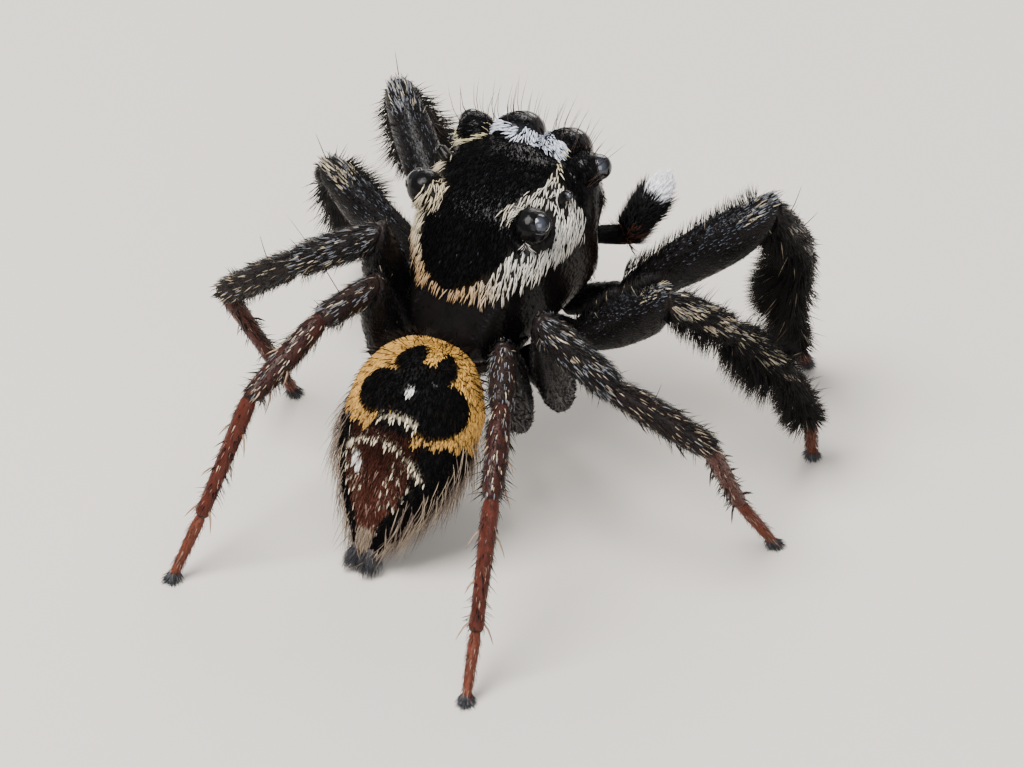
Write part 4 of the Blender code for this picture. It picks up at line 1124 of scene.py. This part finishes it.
def dress_leg(side, number):
    """Scatter over the leg's skin, sorted into pale scales and hair by joint and side."""
    stops, grid, joint_rows, place_rows = legs[side, number]
    seed = limb_seed(side, number)
    chance = np.random.default_rng(500 + seed)
    place, normal, along, spot = scatter(grid, int(LEG_TUFTS * DENSITY), 600 + seed)
    joint, at = joint_at(spot, grid, joint_rows, place_rows)
    backs = np.array([limb_back(stops, i, stops[1]) for i in range(6)])
    dorsal = (normal * backs[joint]).sum(-1)
    firm = np.minimum(at, 1 - at) > 0.012

    rear = dorsal - STRIPE_LEAN * normal[:, 1]
    stripe = ramp(rear, 0.35, 0.75) if number < 3 else 0.12 + 1.25 * ramp(rear, 0.15, 0.85)
    around = np.arctan2(normal[:, 0], normal[:, 1])
    clumps = ramp(np.sin(at * 14 + joint * 2.1 + around * 3), -0.6, 0.5)
    share = np.array(SCALE_SHARE[number])[joint] * stripe * (0.2 + 0.8 * clumps)
    knee = (joint == 1) * ramp(at, 0.78, 0.86) * ramp(rear, 0.55, 0.85)
    knee = knee * (0.26 if number < 3 else 0.08)
    share = np.maximum(share, knee) * 1.25
    keep = (chance.random(len(place)) < share) & firm
    p, n, s, j = place[keep], normal[keep], spot[keep], joint[keep]
    greyness = np.array([0.5, 0.7, 0.5 if number < 3 else 0.8, 0.35, 0.3, 0.3])[j][:, None]
    greyness = greyness * (0.45 if number == 2 else 1)
    grey = chance.random((len(p), 1)) < greyness
    tint = np.where(grey, BLUE_GREY, LEG_CREAM * chance.uniform(0.35, 1.15, (len(p), 1)))
    way = along[keep] + n * chance.uniform(0.10, 0.24, (len(p), 1))
    way = way + chance.normal(0, 0.09, p.shape)
    scales = tufts(f"leg_{side}_{number}_scales", pale_scales, p, way, n,
                   LEG_SCALE_LENGTH * chance.uniform(0.7, 1.3, len(p)), LEG_SCALE_WIDTH,
                   shaded(tint, chance, 0.35), s, SCALE, 0.35, -0.05)

    bears, long, lifted = np.array(HAIR_TABLE[number])[joint].T
    if number < 3:
        bears = bears * (1 - 0.75 * stripe * ((joint == 2) | (joint == 3)) * clumps)
    keep = ~keep & firm & (chance.random(len(place)) < bears)
    p, n, s, j = place[keep], normal[keep], spot[keep], joint[keep]
    pale = chance.random((len(p), 1)) < np.array([0, 0.01, 0.04, 0.06, 0.14, 0.34])[j][:, None]
    pale = pale & (number > 2)
    reddish = (j[:, None] > 4) | ((j[:, None] == 4) & (number > 2))
    # Painted sheen: on the femora of the front legs, blue-grey hairs stand in for the gloss of smooth
    # black hair, most on the upper rear side towards the knee and half as many on the left legs.
    painted_sheen_share = 0.03 + (0.12 + 0.42 * ramp(at[keep], 0.35, 0.75)) * ramp(rear[keep], 0.30, 0.55)
    painted_sheen_share = painted_sheen_share * (number < 3) * (1.0 if side == "right" else 0.5)
    painted_sheen_hair = ((j == 1) & (chance.random(len(p)) < painted_sheen_share))[:, None]
    dark = np.where(painted_sheen_hair, [0.085, 0.100, 0.130], [0.0045, 0.0038, 0.0038])
    red = np.where(j[:, None] > 4, [0.085, 0.026, 0.014], [0.052, 0.017, 0.011])
    dark = np.where(reddish, red, dark)
    tint = np.where(pale, np.where(reddish, [0.26, 0.15, 0.11], [0.38, 0.29, 0.20]), dark)
    lift = lifted[keep][:, None] * chance.uniform(0.5, 1.4, (len(p), 1))
    way = along[keep] + n * lift + chance.normal(0, 0.10, p.shape)
    length = long[keep] * chance.uniform(0.7, 1.3, len(p))
    low = (p + unit(way) * length[:, None])[:, 2] < FLOOR_GAP
    length = np.where(low, length * 0.4, length)
    hair = tufts(f"leg_{side}_{number}_hair", leg_hair, p, way, n, length, LEG_HAIR_WIDTH,
                 shaded(tint, chance, 0.35), s)
    return scales, hair


# Fringes, spines and lone bristles: long black hair that hangs under the joints of the
# front legs, stout spines on the hind ones, and single long bristles at the knees. Each
# is a stiff hair set in a socket of the skin.
# Joint, hairs, degrees off its back and their spread, shortest, longest, lean to the foot
FRINGES = {
    "front": (
        ("femur", 240, 180, 34, 0.05, 0.09, 1.3),
        ("femur", 560, 0, 32, 0.15, 0.23, 0.85),
        ("patella", 900, 180, 38, 0.15, 0.30, 0.55),
        ("tibia", 1800, 180, 36, 0.26, 0.45, 0.50),
        ("metatarsus", 1150, 180, 50, 0.16, 0.30, 0.60),
        ("patella", 420, 0, 60, 0.09, 0.15, 1.4),
        ("tibia", 900, 0, 60, 0.14, 0.24, 1.2),
        ("metatarsus", 500, 0, 60, 0.12, 0.19, 1.2),
    ),
    "hind": (
        ("femur", 120, 180, 36, 0.05, 0.09, 1.1),
        ("patella", 110, 180, 70, 0.10, 0.17, 1.3),
        ("tibia", 180, 180, 70, 0.10, 0.19, 1.3),
        ("metatarsus", 90, 180, 100, 0.08, 0.14, 1.3),
    ),
}
SPINES = {
    # joint: place along it, degrees off its back, length
    "tibia": ((0.30, 90, 0.20), (0.55, -90, 0.20), (0.68, 125, 0.26), (0.80, -125, 0.26),
              (0.86, 165, 0.18), (0.86, -165, 0.18), (0.45, 40, 0.18)),
    "metatarsus": ((0.22, 95, 0.26), (0.25, -95, 0.26), (0.45, 150, 0.18), (0.55, -150, 0.18),
                   (0.92, 90, 0.24), (0.92, -90, 0.24), (0.92, 165, 0.18), (0.60, 70, 0.18)),
}
SPINE_SHADES = {3: (0.016, 0.008, 0.006), 4: (0.30, 0.20, 0.13)}
FRINGE_WIDTH = 0.0100
SPINE_WIDTH = 0.026
LONE_BRISTLE_WIDTH = 0.011


def limb_roots(stops, joint, radius, at, angle):
    """Roots on a joint's side and their outward way, the angle taken off its back."""
    way = unit(stops[joint + 1] - stops[joint])
    back = limb_back(stops, joint, stops[1])
    sideways = np.cross(way, back)
    turn = np.radians(angle)[:, None]
    outward = back * np.cos(turn) + sideways * np.sin(turn)
    middle = stops[joint] + (stops[joint + 1] - stops[joint]) * at[:, None]
    return middle + outward * (radius * 0.8), outward, way


def fringe_leg(side, number):
    """The long hair by the table, spread at random along and about each joint."""
    stops = legs[side, number][0]
    chance = np.random.default_rng(700 + limb_seed(side, number))
    roots, ways, outs, lengths, spots = [], [], [], [], []
    for joint, count, middle, spread, shortest, longest, lean in FRINGES[
            "front" if number < 3 else "hind"]:
        i = JOINTS.index(joint)
        count = int(count * max(DENSITY, 0.5))
        at = chance.uniform(0.05, 0.95, count)
        angle = middle + chance.normal(0, spread, count)
        root, outward, way = limb_roots(stops, i, LEG_RADII[number][i], at, angle)
        rear = (outward * limb_back(stops, i, stops[1])).sum(-1) - STRIPE_LEAN * outward[:, 1]
        striped = (rear > 0.55) & (joint in ("patella", "tibia")) & (chance.random(count) < 0.85)
        at, angle, root, outward = at[~striped], angle[~striped], root[~striped], outward[~striped]
        count = len(at)
        swell = np.sin(np.pi * np.clip(at * 0.9 + 0.06, 0, 1)) ** 0.3
        roots.append(root)
        leaning = outward + way * (lean * (1.25 - at))[:, None]
        ways.append(leaning + chance.normal(0, 0.12, root.shape))
        outs.append(np.broadcast_to(-way, root.shape))
        size = 0.62 if (side, joint) == ("left", "femur") else 1.0
        length = shortest + (longest - shortest) * swell
        lengths.append(length * chance.uniform(0.7, 1.0, count) * size)
        spots.append(np.stack([(i + at) / 6, (angle % 360) / 360], -1))
    roots, ways, outs = np.concatenate(roots), np.concatenate(ways), np.concatenate(outs)
    lengths, spots = np.concatenate(lengths), np.concatenate(spots)
    light = chance.random((len(roots), 1)) < 0.012
    tint = shaded(np.where(light, LEG_CREAM * 0.5, [0.0045, 0.0036, 0.0034]), chance, 0.35)
    return tufts(f"leg_{side}_{number}_fringe", fringe_hair, roots, ways, outs, lengths, FRINGE_WIDTH,
                 tint, spots, LONG_HAIR, 0.7, -0.10, 0.0)


def spine_leg(side, number):
    """The stout spines of a hind leg by the table, leaning towards the foot."""
    stops = legs[side, number][0]
    parts = []
    for joint, table in SPINES.items():
        i = JOINTS.index(joint)
        table = np.array(table)
        root, outward, way = limb_roots(stops, i, LEG_RADII[number][i], table[:, 0], table[:, 1])
        spots = np.stack([(i + table[:, 0]) / 6, (table[:, 1] % 360) / 360], -1)
        parts.append((root, outward + way * 1.5, outward, table[:, 2], spots))
    root, way, outward, length, spots = (np.concatenate(column) for column in zip(*parts))
    return tufts(f"leg_{side}_{number}_spines", leg_hair, root, way, outward, length, SPINE_WIDTH,
                 np.tile(SPINE_SHADES[number], (len(root), 1)), spots,
                 ((0.0, 1.0), (0.35, 0.85), (0.7, 0.55)), 1.0, -0.12, 0.02)


# Leg, joint, place along it, way it points (right, forward, up), length
LONE_BRISTLES = (
    ("left", 4, "patella", 0.55, (-0.40, -0.27, 1.00), 1.05),
    ("left", 4, "tibia", 0.50, (-0.65, -0.10, 0.60), 0.28),
    ("left", 3, "patella", 0.40, (-0.20, -0.30, 1.00), 0.36),
    ("left", 3, "tibia", 0.30, (-0.30, -0.10, 1.00), 0.30),
    ("left", 1, "patella", 0.20, (-0.40, 0.30, 1.00), 0.34),
    ("left", 2, "patella", 0.20, (-0.60, 0.10, 1.00), 0.30),
    ("right", 1, "patella", 0.25, (0.30, 0.20, 1.00), 0.34),
    ("right", 1, "patella", 0.55, (0.60, 0.20, 0.80), 0.28),
    ("right", 2, "tibia", 0.20, (0.45, -0.10, 1.00), 0.36),
    ("right", 2, "tibia", 0.55, (0.60, 0.10, 0.90), 0.34),
    ("right", 3, "patella", 0.50, (0.20, -0.20, 1.00), 0.26),
    ("right", 3, "tibia", 0.35, (0.40, 0.00, 0.90), 0.28),
    ("right", 4, "tibia", 0.30, (0.40, -0.40, 0.90), 0.26),
)


def lone_bristle(number, side, leg, joint, at, aim, length):
    """One long thin hair rooted in the middle of a joint's side that faces its way."""
    stops = legs[side, leg][0]
    i = JOINTS.index(joint)
    way = unit(stops[i + 1] - stops[i])
    aim = unit(np.array(aim))
    outward = unit(aim - way * (aim @ way))
    root = stops[i] + (stops[i + 1] - stops[i]) * at + outward * LEG_RADII[leg][i] * 0.9
    return tufts(f"lone_bristle_{number}", leg_hair, root[None], aim[None], outward[None], length,
                 LONE_BRISTLE_WIDTH, np.array([[0.020, 0.012, 0.009]]), np.full((1, 2), 0.5),
                 ((0.0, 1.0), (0.3, 0.85), (0.6, 0.65), (0.85, 0.4)), 1.0, -0.06, 0.02)


for number, row in enumerate(LONE_BRISTLES):
    bristle = lone_bristle(number, *row)
    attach(bristle, "root")


for leg_side, leg_number in legs:
    coat = (*dress_leg(leg_side, leg_number), fringe_leg(leg_side, leg_number))
    if leg_number > 2:
        coat = (*coat, spine_leg(leg_side, leg_number))
    for piece in coat:
        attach(piece, "root")


# Feet: a pad of dense dark grey hair under each tarsus, with two curved black claws
# above it. The pad is what grips the ground.
FOOT_HAIRS = 340
PAD_GREY = (0.055, 0.057, 0.064)
CLAW_LENGTH = 0.095
CLAW_WIDTH = 0.022


def dress_foot(side, number):
    """Hairs from the tarsus end in a half ball about its way, none below the floor."""
    stops = legs[side, number][0]
    chance = np.random.default_rng(800 + limb_seed(side, number))
    end, way = stops[-1], unit(stops[-1] - stops[-2])
    aim = unit(chance.normal(0, 1, (FOOT_HAIRS, 3)))
    aim = unit(aim + way * 0.9 + np.array([0, 0, -0.5]))
    root = end - way * chance.uniform(0.0, 0.10, (FOOT_HAIRS, 1)) + aim * 0.020
    root[:, 2] = np.maximum(root[:, 2], 0.012)
    length = chance.uniform(0.10, 0.16, FOOT_HAIRS)
    drop = np.maximum(-aim[:, 2], 1e-3)
    length = np.minimum(length, (root[:, 2] - 0.001) / drop)
    spot = chance.uniform(0.02, 0.98, (FOOT_HAIRS, 2))
    tint = shaded(np.tile(PAD_GREY, (FOOT_HAIRS, 1)), chance, 0.6)
    pad = tufts(f"leg_{side}_{number}_foot_pad", leg_hair, root, aim, np.roll(aim, 1, 1), length,
                0.013, tint, spot, HAIR, 0.8, 0.0, 0.0)
    across = unit(np.cross(way, UP))
    level = unit(way * [1, 1, 0])
    root = np.array([end + across * 0.016, end - across * 0.016]) + UP * 0.018
    aim = np.array([level + UP * 0.3 + across * 0.25, level + UP * 0.3 - across * 0.25])
    claws = tufts(f"leg_{side}_{number}_claws", claw_black, root, aim, np.array([UP, UP]),
                  CLAW_LENGTH, CLAW_WIDTH, np.tile([0.006, 0.005, 0.005], (2, 1)),
                  np.full((2, 2), 0.5),
                  ((0.0, 1.0), (0.25, 0.95), (0.5, 0.75), (0.75, 0.45)), 0.9, -0.70, 0.01)
    return pad, claws


claw_black = coat_finish("claw_black", 0.2, 0.6)
for leg_side, leg_number in legs:
    for piece in dress_foot(leg_side, leg_number):
        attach(piece, "root")


# Palps: a pair of short limbs beside the jaws, black and shaggy, each ending in a
# brush of bright white hair. They hang from the mouth plates on a thin stalk.
PALP_BASE = (0.50, 0.80, -0.96)
PALP_STALK = (60, -20, 0.42)
PALP_TIPS = {"right": (50, 56, 0.70), "left": (58, 40, 0.70)}
PALP_RADII = (0.070, 0.100)
PALP_TUFTS = 7000
PALP_WHITE = (0.84, 0.84, 0.88)
PALP_WHITE_WIDTH = 0.023
PALP_HAIR_WIDTH = 0.012
PALP_PROFILES = (((0.0, 0.7), (0.1, 0.9), (0.5, 1.0), (0.92, 0.92), (1.0, 0.75)),
                 ((0.0, 0.62), (0.08, 0.75), (0.3, 0.9), (0.58, 1.0), (0.85, 0.85), (1.0, 0.3)))


def palp_points(side):
    """Base, bend and tip of a palp."""
    sign = SIDES[side]
    base = from_head(on_side(PALP_BASE, sign))
    bend = base + direction(side, *PALP_STALK[:2]) * PALP_STALK[2]
    tip = PALP_TIPS[side]
    return np.array([base, bend, bend + direction(side, *tip[:2]) * tip[2]])


def dress_palp(side, grid, joint_rows, place_rows):
    """Black hair that leans to the tip, then a white brush on the last third."""
    chance = np.random.default_rng(901 if side == "right" else 902)
    place, normal, along, spot = scatter(grid, int(PALP_TUFTS * max(DENSITY, 0.6)), 903)
    joint, at = joint_at(spot, grid, joint_rows, place_rows)
    white = (joint == 1) & (at + chance.normal(0, 0.04, len(at)) > 0.66)
    length = np.where(joint == 0, 0.10 + 0.09 * at, np.where(white, 0.14, 0.20))
    length = length * chance.uniform(0.6, 1.15, len(at))
    lift = np.where(white, 0.42, np.where(joint == 0, 0.4, 0.75))[:, None]
    stops = palp_points(side)
    onward = unit(stops[2] - stops[0]) * (joint == 0)[:, None]
    way = along + onward + normal * lift * chance.uniform(0.6, 1.3, (len(at), 1))
    way = way + chance.normal(0, 0.1, place.shape)
    bend = ((joint == 0) & (at > 0.7)) | ((joint == 1) & (at < 0.15))
    brown = bend & (normal[:, 2] < 0.2) & (chance.random(len(at)) < 0.45)
    tint = np.where(brown[:, None], [0.085, 0.030, 0.016], [0.0045, 0.004, 0.004])
    tint = np.where(white[:, None], PALP_WHITE, tint)
    return tufts(f"palp_{side}_hair", fringe_hair, place, way, normal, length,
                 np.where(white, PALP_WHITE_WIDTH, PALP_HAIR_WIDTH), shaded(tint, chance, 0.25), spot,
                 LONG_HAIR, 0.5, -0.12)


for palp_side in SIDES:
    palp_stops = palp_points(palp_side)
    palp_grid, palp_joint, palp_place = limb_grid(palp_stops, PALP_RADII, PALP_PROFILES,
                                                  (1.0, 1.0), (0, 0))
    whiten = ramp(palp_place, 0.6, 0.72)[:, None] * (palp_joint[:, None] == 1)
    tones = np.array(SHELL_BLACK) * (1 - whiten) + np.array([0.30, 0.29, 0.29]) * whiten
    palp = skin_piece(f"palp_{palp_side}_skin", palp_grid,
                      np.repeat(tones[:, None, :], palp_grid.shape[1], 1), leg_shell)
    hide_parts(f"palp_{palp_side}_stalk", f"palp_{palp_side}_tip")
    for piece in (palp, dress_palp(palp_side, palp_grid, palp_joint, palp_place)):
        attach(piece, "root")


# Jaws: two upright polished chelicerae under the face, each with a short curved fang
# folded under its end and some hair on its front.
CHELICERA_PLACE = (0.185, 0.93, -0.72)
CHELICERA_TUFTS = 2600
CHELICERA_BLACK = np.array([0.014, 0.009, 0.008])
CHELICERA_BROWN = np.array([0.050, 0.016, 0.009])
# distance down from the top, half width, half depth, forward shift
CHELICERA_STATIONS = (
    (0.005, 0.02, 0.02, 0.0),
    (0.012, 0.145, 0.115, 0.0),
    (0.24, 0.162, 0.170, 0.04),
    (0.52, 0.146, 0.160, 0.04),
    (0.74, 0.106, 0.120, 0.0),
    (0.815, 0.060, 0.070, -0.015),
    (0.835, 0.01, 0.01, -0.02),
)


def chelicera_grid(sign, rows=60, sides=48):
    """Ellipses down the jaw, from the table's half widths and half depths."""
    stations = np.array(CHELICERA_STATIONS)
    down = np.linspace(stations[0, 0], stations[-1, 0], rows)
    wide, deep, shift = smooth_through(down, stations).T[:, :, None]
    c, s = circle(sides)
    return np.stack([sign * CHELICERA_PLACE[0] + wide * c,
                     CHELICERA_PLACE[1] + shift - deep * s,
                     np.broadcast_to(CHELICERA_PLACE[2] - down[:, None], (rows, sides + 1))], -1)


jaw_shell = shell_finish("polished_jaw_shell", 0.22, 0.3, 11000, 0.2)
for jaw_side, sign in SIDES.items():
    jaw_grid = chelicera_grid(sign)
    lower = ramp(-jaw_grid[..., 2], 1.0, 1.5)[..., None]
    tones = CHELICERA_BLACK * (1 - lower) + CHELICERA_BROWN * lower
    jaw = skin_piece(f"chelicera_{jaw_side}_shell", from_head(jaw_grid), tones, jaw_shell)
    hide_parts(f"chelicera_{jaw_side}")
    chance = np.random.default_rng(911)
    place, normal, _along, spot = scatter(jaw_grid, int(CHELICERA_TUFTS * max(DENSITY, 0.5)), 912)
    keep = (normal[:, 1] > 0.0) & (place[:, 2] > -1.42)
    place, normal, spot = place[keep], normal[keep], spot[keep]
    way = np.array([0, 0.1, -1.0]) + normal * chance.uniform(0.2, 0.7, (len(place), 1))
    pale = chance.random((len(place), 1)) < 0.25
    tint = np.where(pale, [0.35, 0.28, 0.20], [0.02, 0.013, 0.010])
    beard = head_tufts(f"chelicera_{jaw_side}_hair", leg_hair, place, way, normal,
                       chance.uniform(0.06, 0.12, len(place)), 0.010,
                       shaded(tint, chance, 0.3), spot)
    fang_root = [sign * (CHELICERA_PLACE[0] - 0.03), CHELICERA_PLACE[1] - 0.01, -1.51]
    fang = head_tufts(f"fang_{jaw_side}", claw_black, [fang_root],
                      np.array([[-sign * 0.9, -0.1, -0.35]]), np.array([[0.0, 0.0, -1.0]]),
                      0.15, 0.055, np.array([[0.05, 0.016, 0.009]]), np.full((1, 2), 0.5),
                      ((0.0, 1.0), (0.25, 0.9), (0.5, 0.7), (0.75, 0.4)), 0.9, -0.5, 0.02)
    for piece in (jaw, beard, fang):
        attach(piece, "root")


# Underside: the flat shield between the coxae, with the lip and the two mouth plates
# in front of it, all of dull dark skin with short hair.
UNDERSIDE_PLATES = {
    # half width, half height, half length, out, forward, up
    "sternum": (0.315, 0.125, 0.49, 0.0, -0.20, -1.555),
    "lip": (0.105, 0.075, 0.105, 0.0, 0.32, -1.585),
    "mouth_plate_right": (0.088, 0.110, 0.185, 0.125, 0.41, -1.560),
    "mouth_plate_left": (0.088, 0.110, 0.185, -0.125, 0.41, -1.560),
}


def plate_grid(half_width, half_height, half_length, out, forward, up, rows=40, sides=48):
    """Rounded plate: half sizes times rounded-square sections that shrink to the ends."""
    t = np.linspace(-1, 1, rows)
    t = np.sign(t) * (1 - (1 - np.abs(t)) ** 1.6)
    swell = np.maximum(1 - np.abs(t) ** 2.6, 1e-3)[:, None] ** 0.5
    c, s = circle(sides)
    return np.stack([out + half_width * swell * np.sign(c) * np.abs(c) ** 0.75,
                     np.broadcast_to(forward + half_length * t[:, None], (rows, sides + 1)),
                     up + half_height * swell**0.6 * np.sign(s) * np.abs(s) ** 0.75], -1)


underside_shell = shell_finish("dull_underside_shell", 0.5, 0.1, 12000, 0.4)
for plate_name, sizes in UNDERSIDE_PLATES.items():
    plate = plate_grid(*sizes)
    shell = skin_piece(f"{plate_name}_shell", from_head(plate),
                       np.tile([0.022, 0.013, 0.010], plate.shape[:2] + (1,)), underside_shell)
    place, normal, _along, spot = scatter(plate, int(3000 * sizes[2]), 921)
    chance = np.random.default_rng(922)
    keep = normal[:, 2] < -0.2
    place, normal, spot = place[keep], normal[keep], spot[keep]
    way = np.array([0.0, -1.0, 0.0]) + normal * chance.uniform(0.3, 0.8, (len(place), 1))
    down = head_tufts(f"{plate_name}_hair", leg_hair, place, way, normal,
                      chance.uniform(0.05, 0.09, len(place)), 0.009,
                      shaded(np.tile([0.10, 0.075, 0.055], (len(place), 1)), chance, 0.5), spot)
    if plate_name == "sternum":
        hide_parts("sternum")
    for piece in (shell, down):
        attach(piece, "root")


# Waist: the short narrow stalk of soft dark skin that joins the abdomen to the thorax.
# It starts under the carapace and ends inside the front of the abdomen.
WAIST = (0.0, -0.98, -1.00)
WAIST_RADIUS = 0.062
waist_start = from_head(WAIST)
waist_end = ABDOMEN_FRONT + 0.16 * (ABDOMEN_TIP - ABDOMEN_FRONT)
waist_grid, _joints, _places = limb_grid(
    np.array([waist_start + (waist_start - waist_end) * 0.15, waist_end]), (WAIST_RADIUS,),
    (((0.0, 0.9), (0.5, 1.0), (1.0, 0.9)),), (1.0,), (0,))
waist = skin_piece("waist_skin", waist_grid, np.tile(SHELL_BLACK, waist_grid.shape[:2] + (1,)),
                   underside_shell)
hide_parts("pedicel")
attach(waist, "root")


# Spinnerets: six short hairy cones in a close group at the tip of the abdomen, the
# outer ones longest, dusted grey.
SPINNERETS = (
    # sideways, towards the back, length, radius
    (0.070, 0.036, 0.165, 0.050),
    (-0.070, 0.036, 0.165, 0.050),
    (0.088, -0.034, 0.160, 0.054),
    (-0.088, -0.034, 0.160, 0.054),
    (0.022, 0.0, 0.130, 0.030),
    (-0.022, 0.0, 0.130, 0.030),
)
SPINNERET_TUFTS = 170


def make_spinnerets():
    """Each cone a short limb along the abdomen's axis, with a coat of fine hair."""
    axis, across, back = abdomen_axes()
    made = []
    chance = np.random.default_rng(931)
    for number, (sideways, rise, length, radius) in enumerate(SPINNERETS):
        start = ABDOMEN_TIP - axis * 0.03 + across * sideways + back * rise
        end = start + (axis + across * sideways * 2.5 + back * rise * 2.0) * length
        end[2] = max(end[2], 0.02)
        grid, _joint, _place = limb_grid(np.array([start, end]), (radius,),
                                         (((0.0, 1.0), (0.5, 0.95), (0.9, 0.7), (1.0, 0.3)),),
                                         (1.0,), (0,), 16, 20)
        grid[..., 2] = np.maximum(grid[..., 2], 0.007)
        cone = skin_piece(f"spinneret_{number}", grid, np.tile([0.06, 0.05, 0.048],
                          grid.shape[:2] + (1,)), underside_shell)
        place, normal, along, spot = scatter(grid, SPINNERET_TUFTS, 932 + number)
        way = along + normal * chance.uniform(0.2, 0.6, (len(place), 1))
        size = chance.uniform(0.09, 0.16, len(place))
        low = (place + unit(way) * size[:, None])[:, 2] < FLOOR_GAP
        hair = tufts(f"spinneret_{number}_hair", leg_hair, place, way, normal,
                     np.where(low, size * 0.25, size), 0.009,
                     shaded(np.tile([0.046, 0.047, 0.054], (len(place), 1)), chance, 0.8), spot)
        made += [cone, hair]
    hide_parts("spinnerets")
    return made


for piece in make_spinnerets():
    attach(piece, "root")


# Floor, light and camera: a plain pale floor, a broad soft lamp overhead, a weak one
# from the camera's side and another opposite. The camera looks down from behind right.
FLOOR_SIZE = 0.4
CAMERA_TARGET = np.array([0.571, -1.178, 0.0]) * MM
CAMERA_FAR = 0.130
CAMERA_UP = 35
CAMERA_WAY = (-0.568, 0.823)        # level way from the animal to the camera
PICTURE_WIDTH = 9.68 * MM
SENSOR_WIDTH = 36
FLOOR_COLOUR = (0.62, 0.58, 0.53)
SKY_COLOUR = (0.90, 0.93, 1.0)
SKY_STRENGTH = 0.38
LAMP_AIM = (0, 0, 0.001)
LAMPS = {
    # place, size, power, colour
    "key": ((0.015, 0.030, 0.075), 0.050, 0.16, (1.0, 0.98, 0.95)),
    "fill": ((-0.062, 0.062, 0.045), 0.060, 0.05, (0.95, 0.97, 1.0)),
    "back": ((0.030, -0.080, 0.050), 0.060, 0.07, (1.0, 0.96, 0.90)),
}


def plain_finish(name, colour, roughness):
    """A dull finish of one even colour."""
    finish = bpy.data.materials.new(name)
    finish.use_nodes = True
    shader = finish.node_tree.nodes["Principled BSDF"]
    shader.inputs["Base Color"].default_value = (*colour, 1)
    shader.inputs["Roughness"].default_value = roughness
    return finish


def soft_lamp(name, place, size, power, colour):
    """A square area light at a place, turned to face the animal."""
    data = bpy.data.lights.new(name, "AREA")
    data.shape = "SQUARE"
    data.size = size
    data.energy = power
    data.color = colour
    lamp = bpy.data.objects.new(name, data)
    bpy.context.scene.collection.objects.link(lamp)
    turn_to(lamp, np.array(place), np.array(LAMP_AIM))


def turn_to(thing, place, aim):
    """Put a lamp or camera at a place, its -Z towards the aim and +Y upwards."""
    ahead = unit(aim - place)
    right = unit(np.cross(ahead, UP))
    rise = np.cross(right, ahead)
    matrix = np.eye(4)
    matrix[:3, 0], matrix[:3, 1], matrix[:3, 2], matrix[:3, 3] = right, rise, -ahead, place
    thing.matrix_world = Matrix(matrix.tolist())


floor_mesh = bpy.data.meshes.new("floor")
half = FLOOR_SIZE / 2
floor_corners = [(-half, -half, 0), (half, -half, 0), (half, half, 0), (-half, half, 0)]
floor_mesh.from_pydata(floor_corners, [], [(0, 1, 2, 3)])
floor_mesh.materials.append(plain_finish("pale_floor", FLOOR_COLOUR, 0.7))
floor = bpy.data.objects.new("floor", floor_mesh)
bpy.context.scene.collection.objects.link(floor)

world = bpy.data.worlds.new("studio")
world.use_nodes = True
sky = world.node_tree.nodes["Background"]
sky.inputs["Color"].default_value = (*SKY_COLOUR, 1)
sky.inputs["Strength"].default_value = SKY_STRENGTH
bpy.context.scene.world = world

low, high = np.cos(np.radians(CAMERA_UP)), np.sin(np.radians(CAMERA_UP))
camera_place = CAMERA_TARGET + CAMERA_FAR * np.array([CAMERA_WAY[0] * low, CAMERA_WAY[1] * low, high])
for lamp_name, lamp_values in LAMPS.items():
    soft_lamp(lamp_name, *lamp_values)

camera_data = bpy.data.cameras.new("camera")
camera_data.sensor_width = SENSOR_WIDTH
camera_data.lens = SENSOR_WIDTH * CAMERA_FAR / PICTURE_WIDTH
camera_data.clip_start = 0.001
camera_data.clip_end = 10
camera = bpy.data.objects.new("camera", camera_data)
bpy.context.scene.collection.objects.link(camera)
turn_to(camera, camera_place, CAMERA_TARGET)
bpy.context.scene.camera = camera
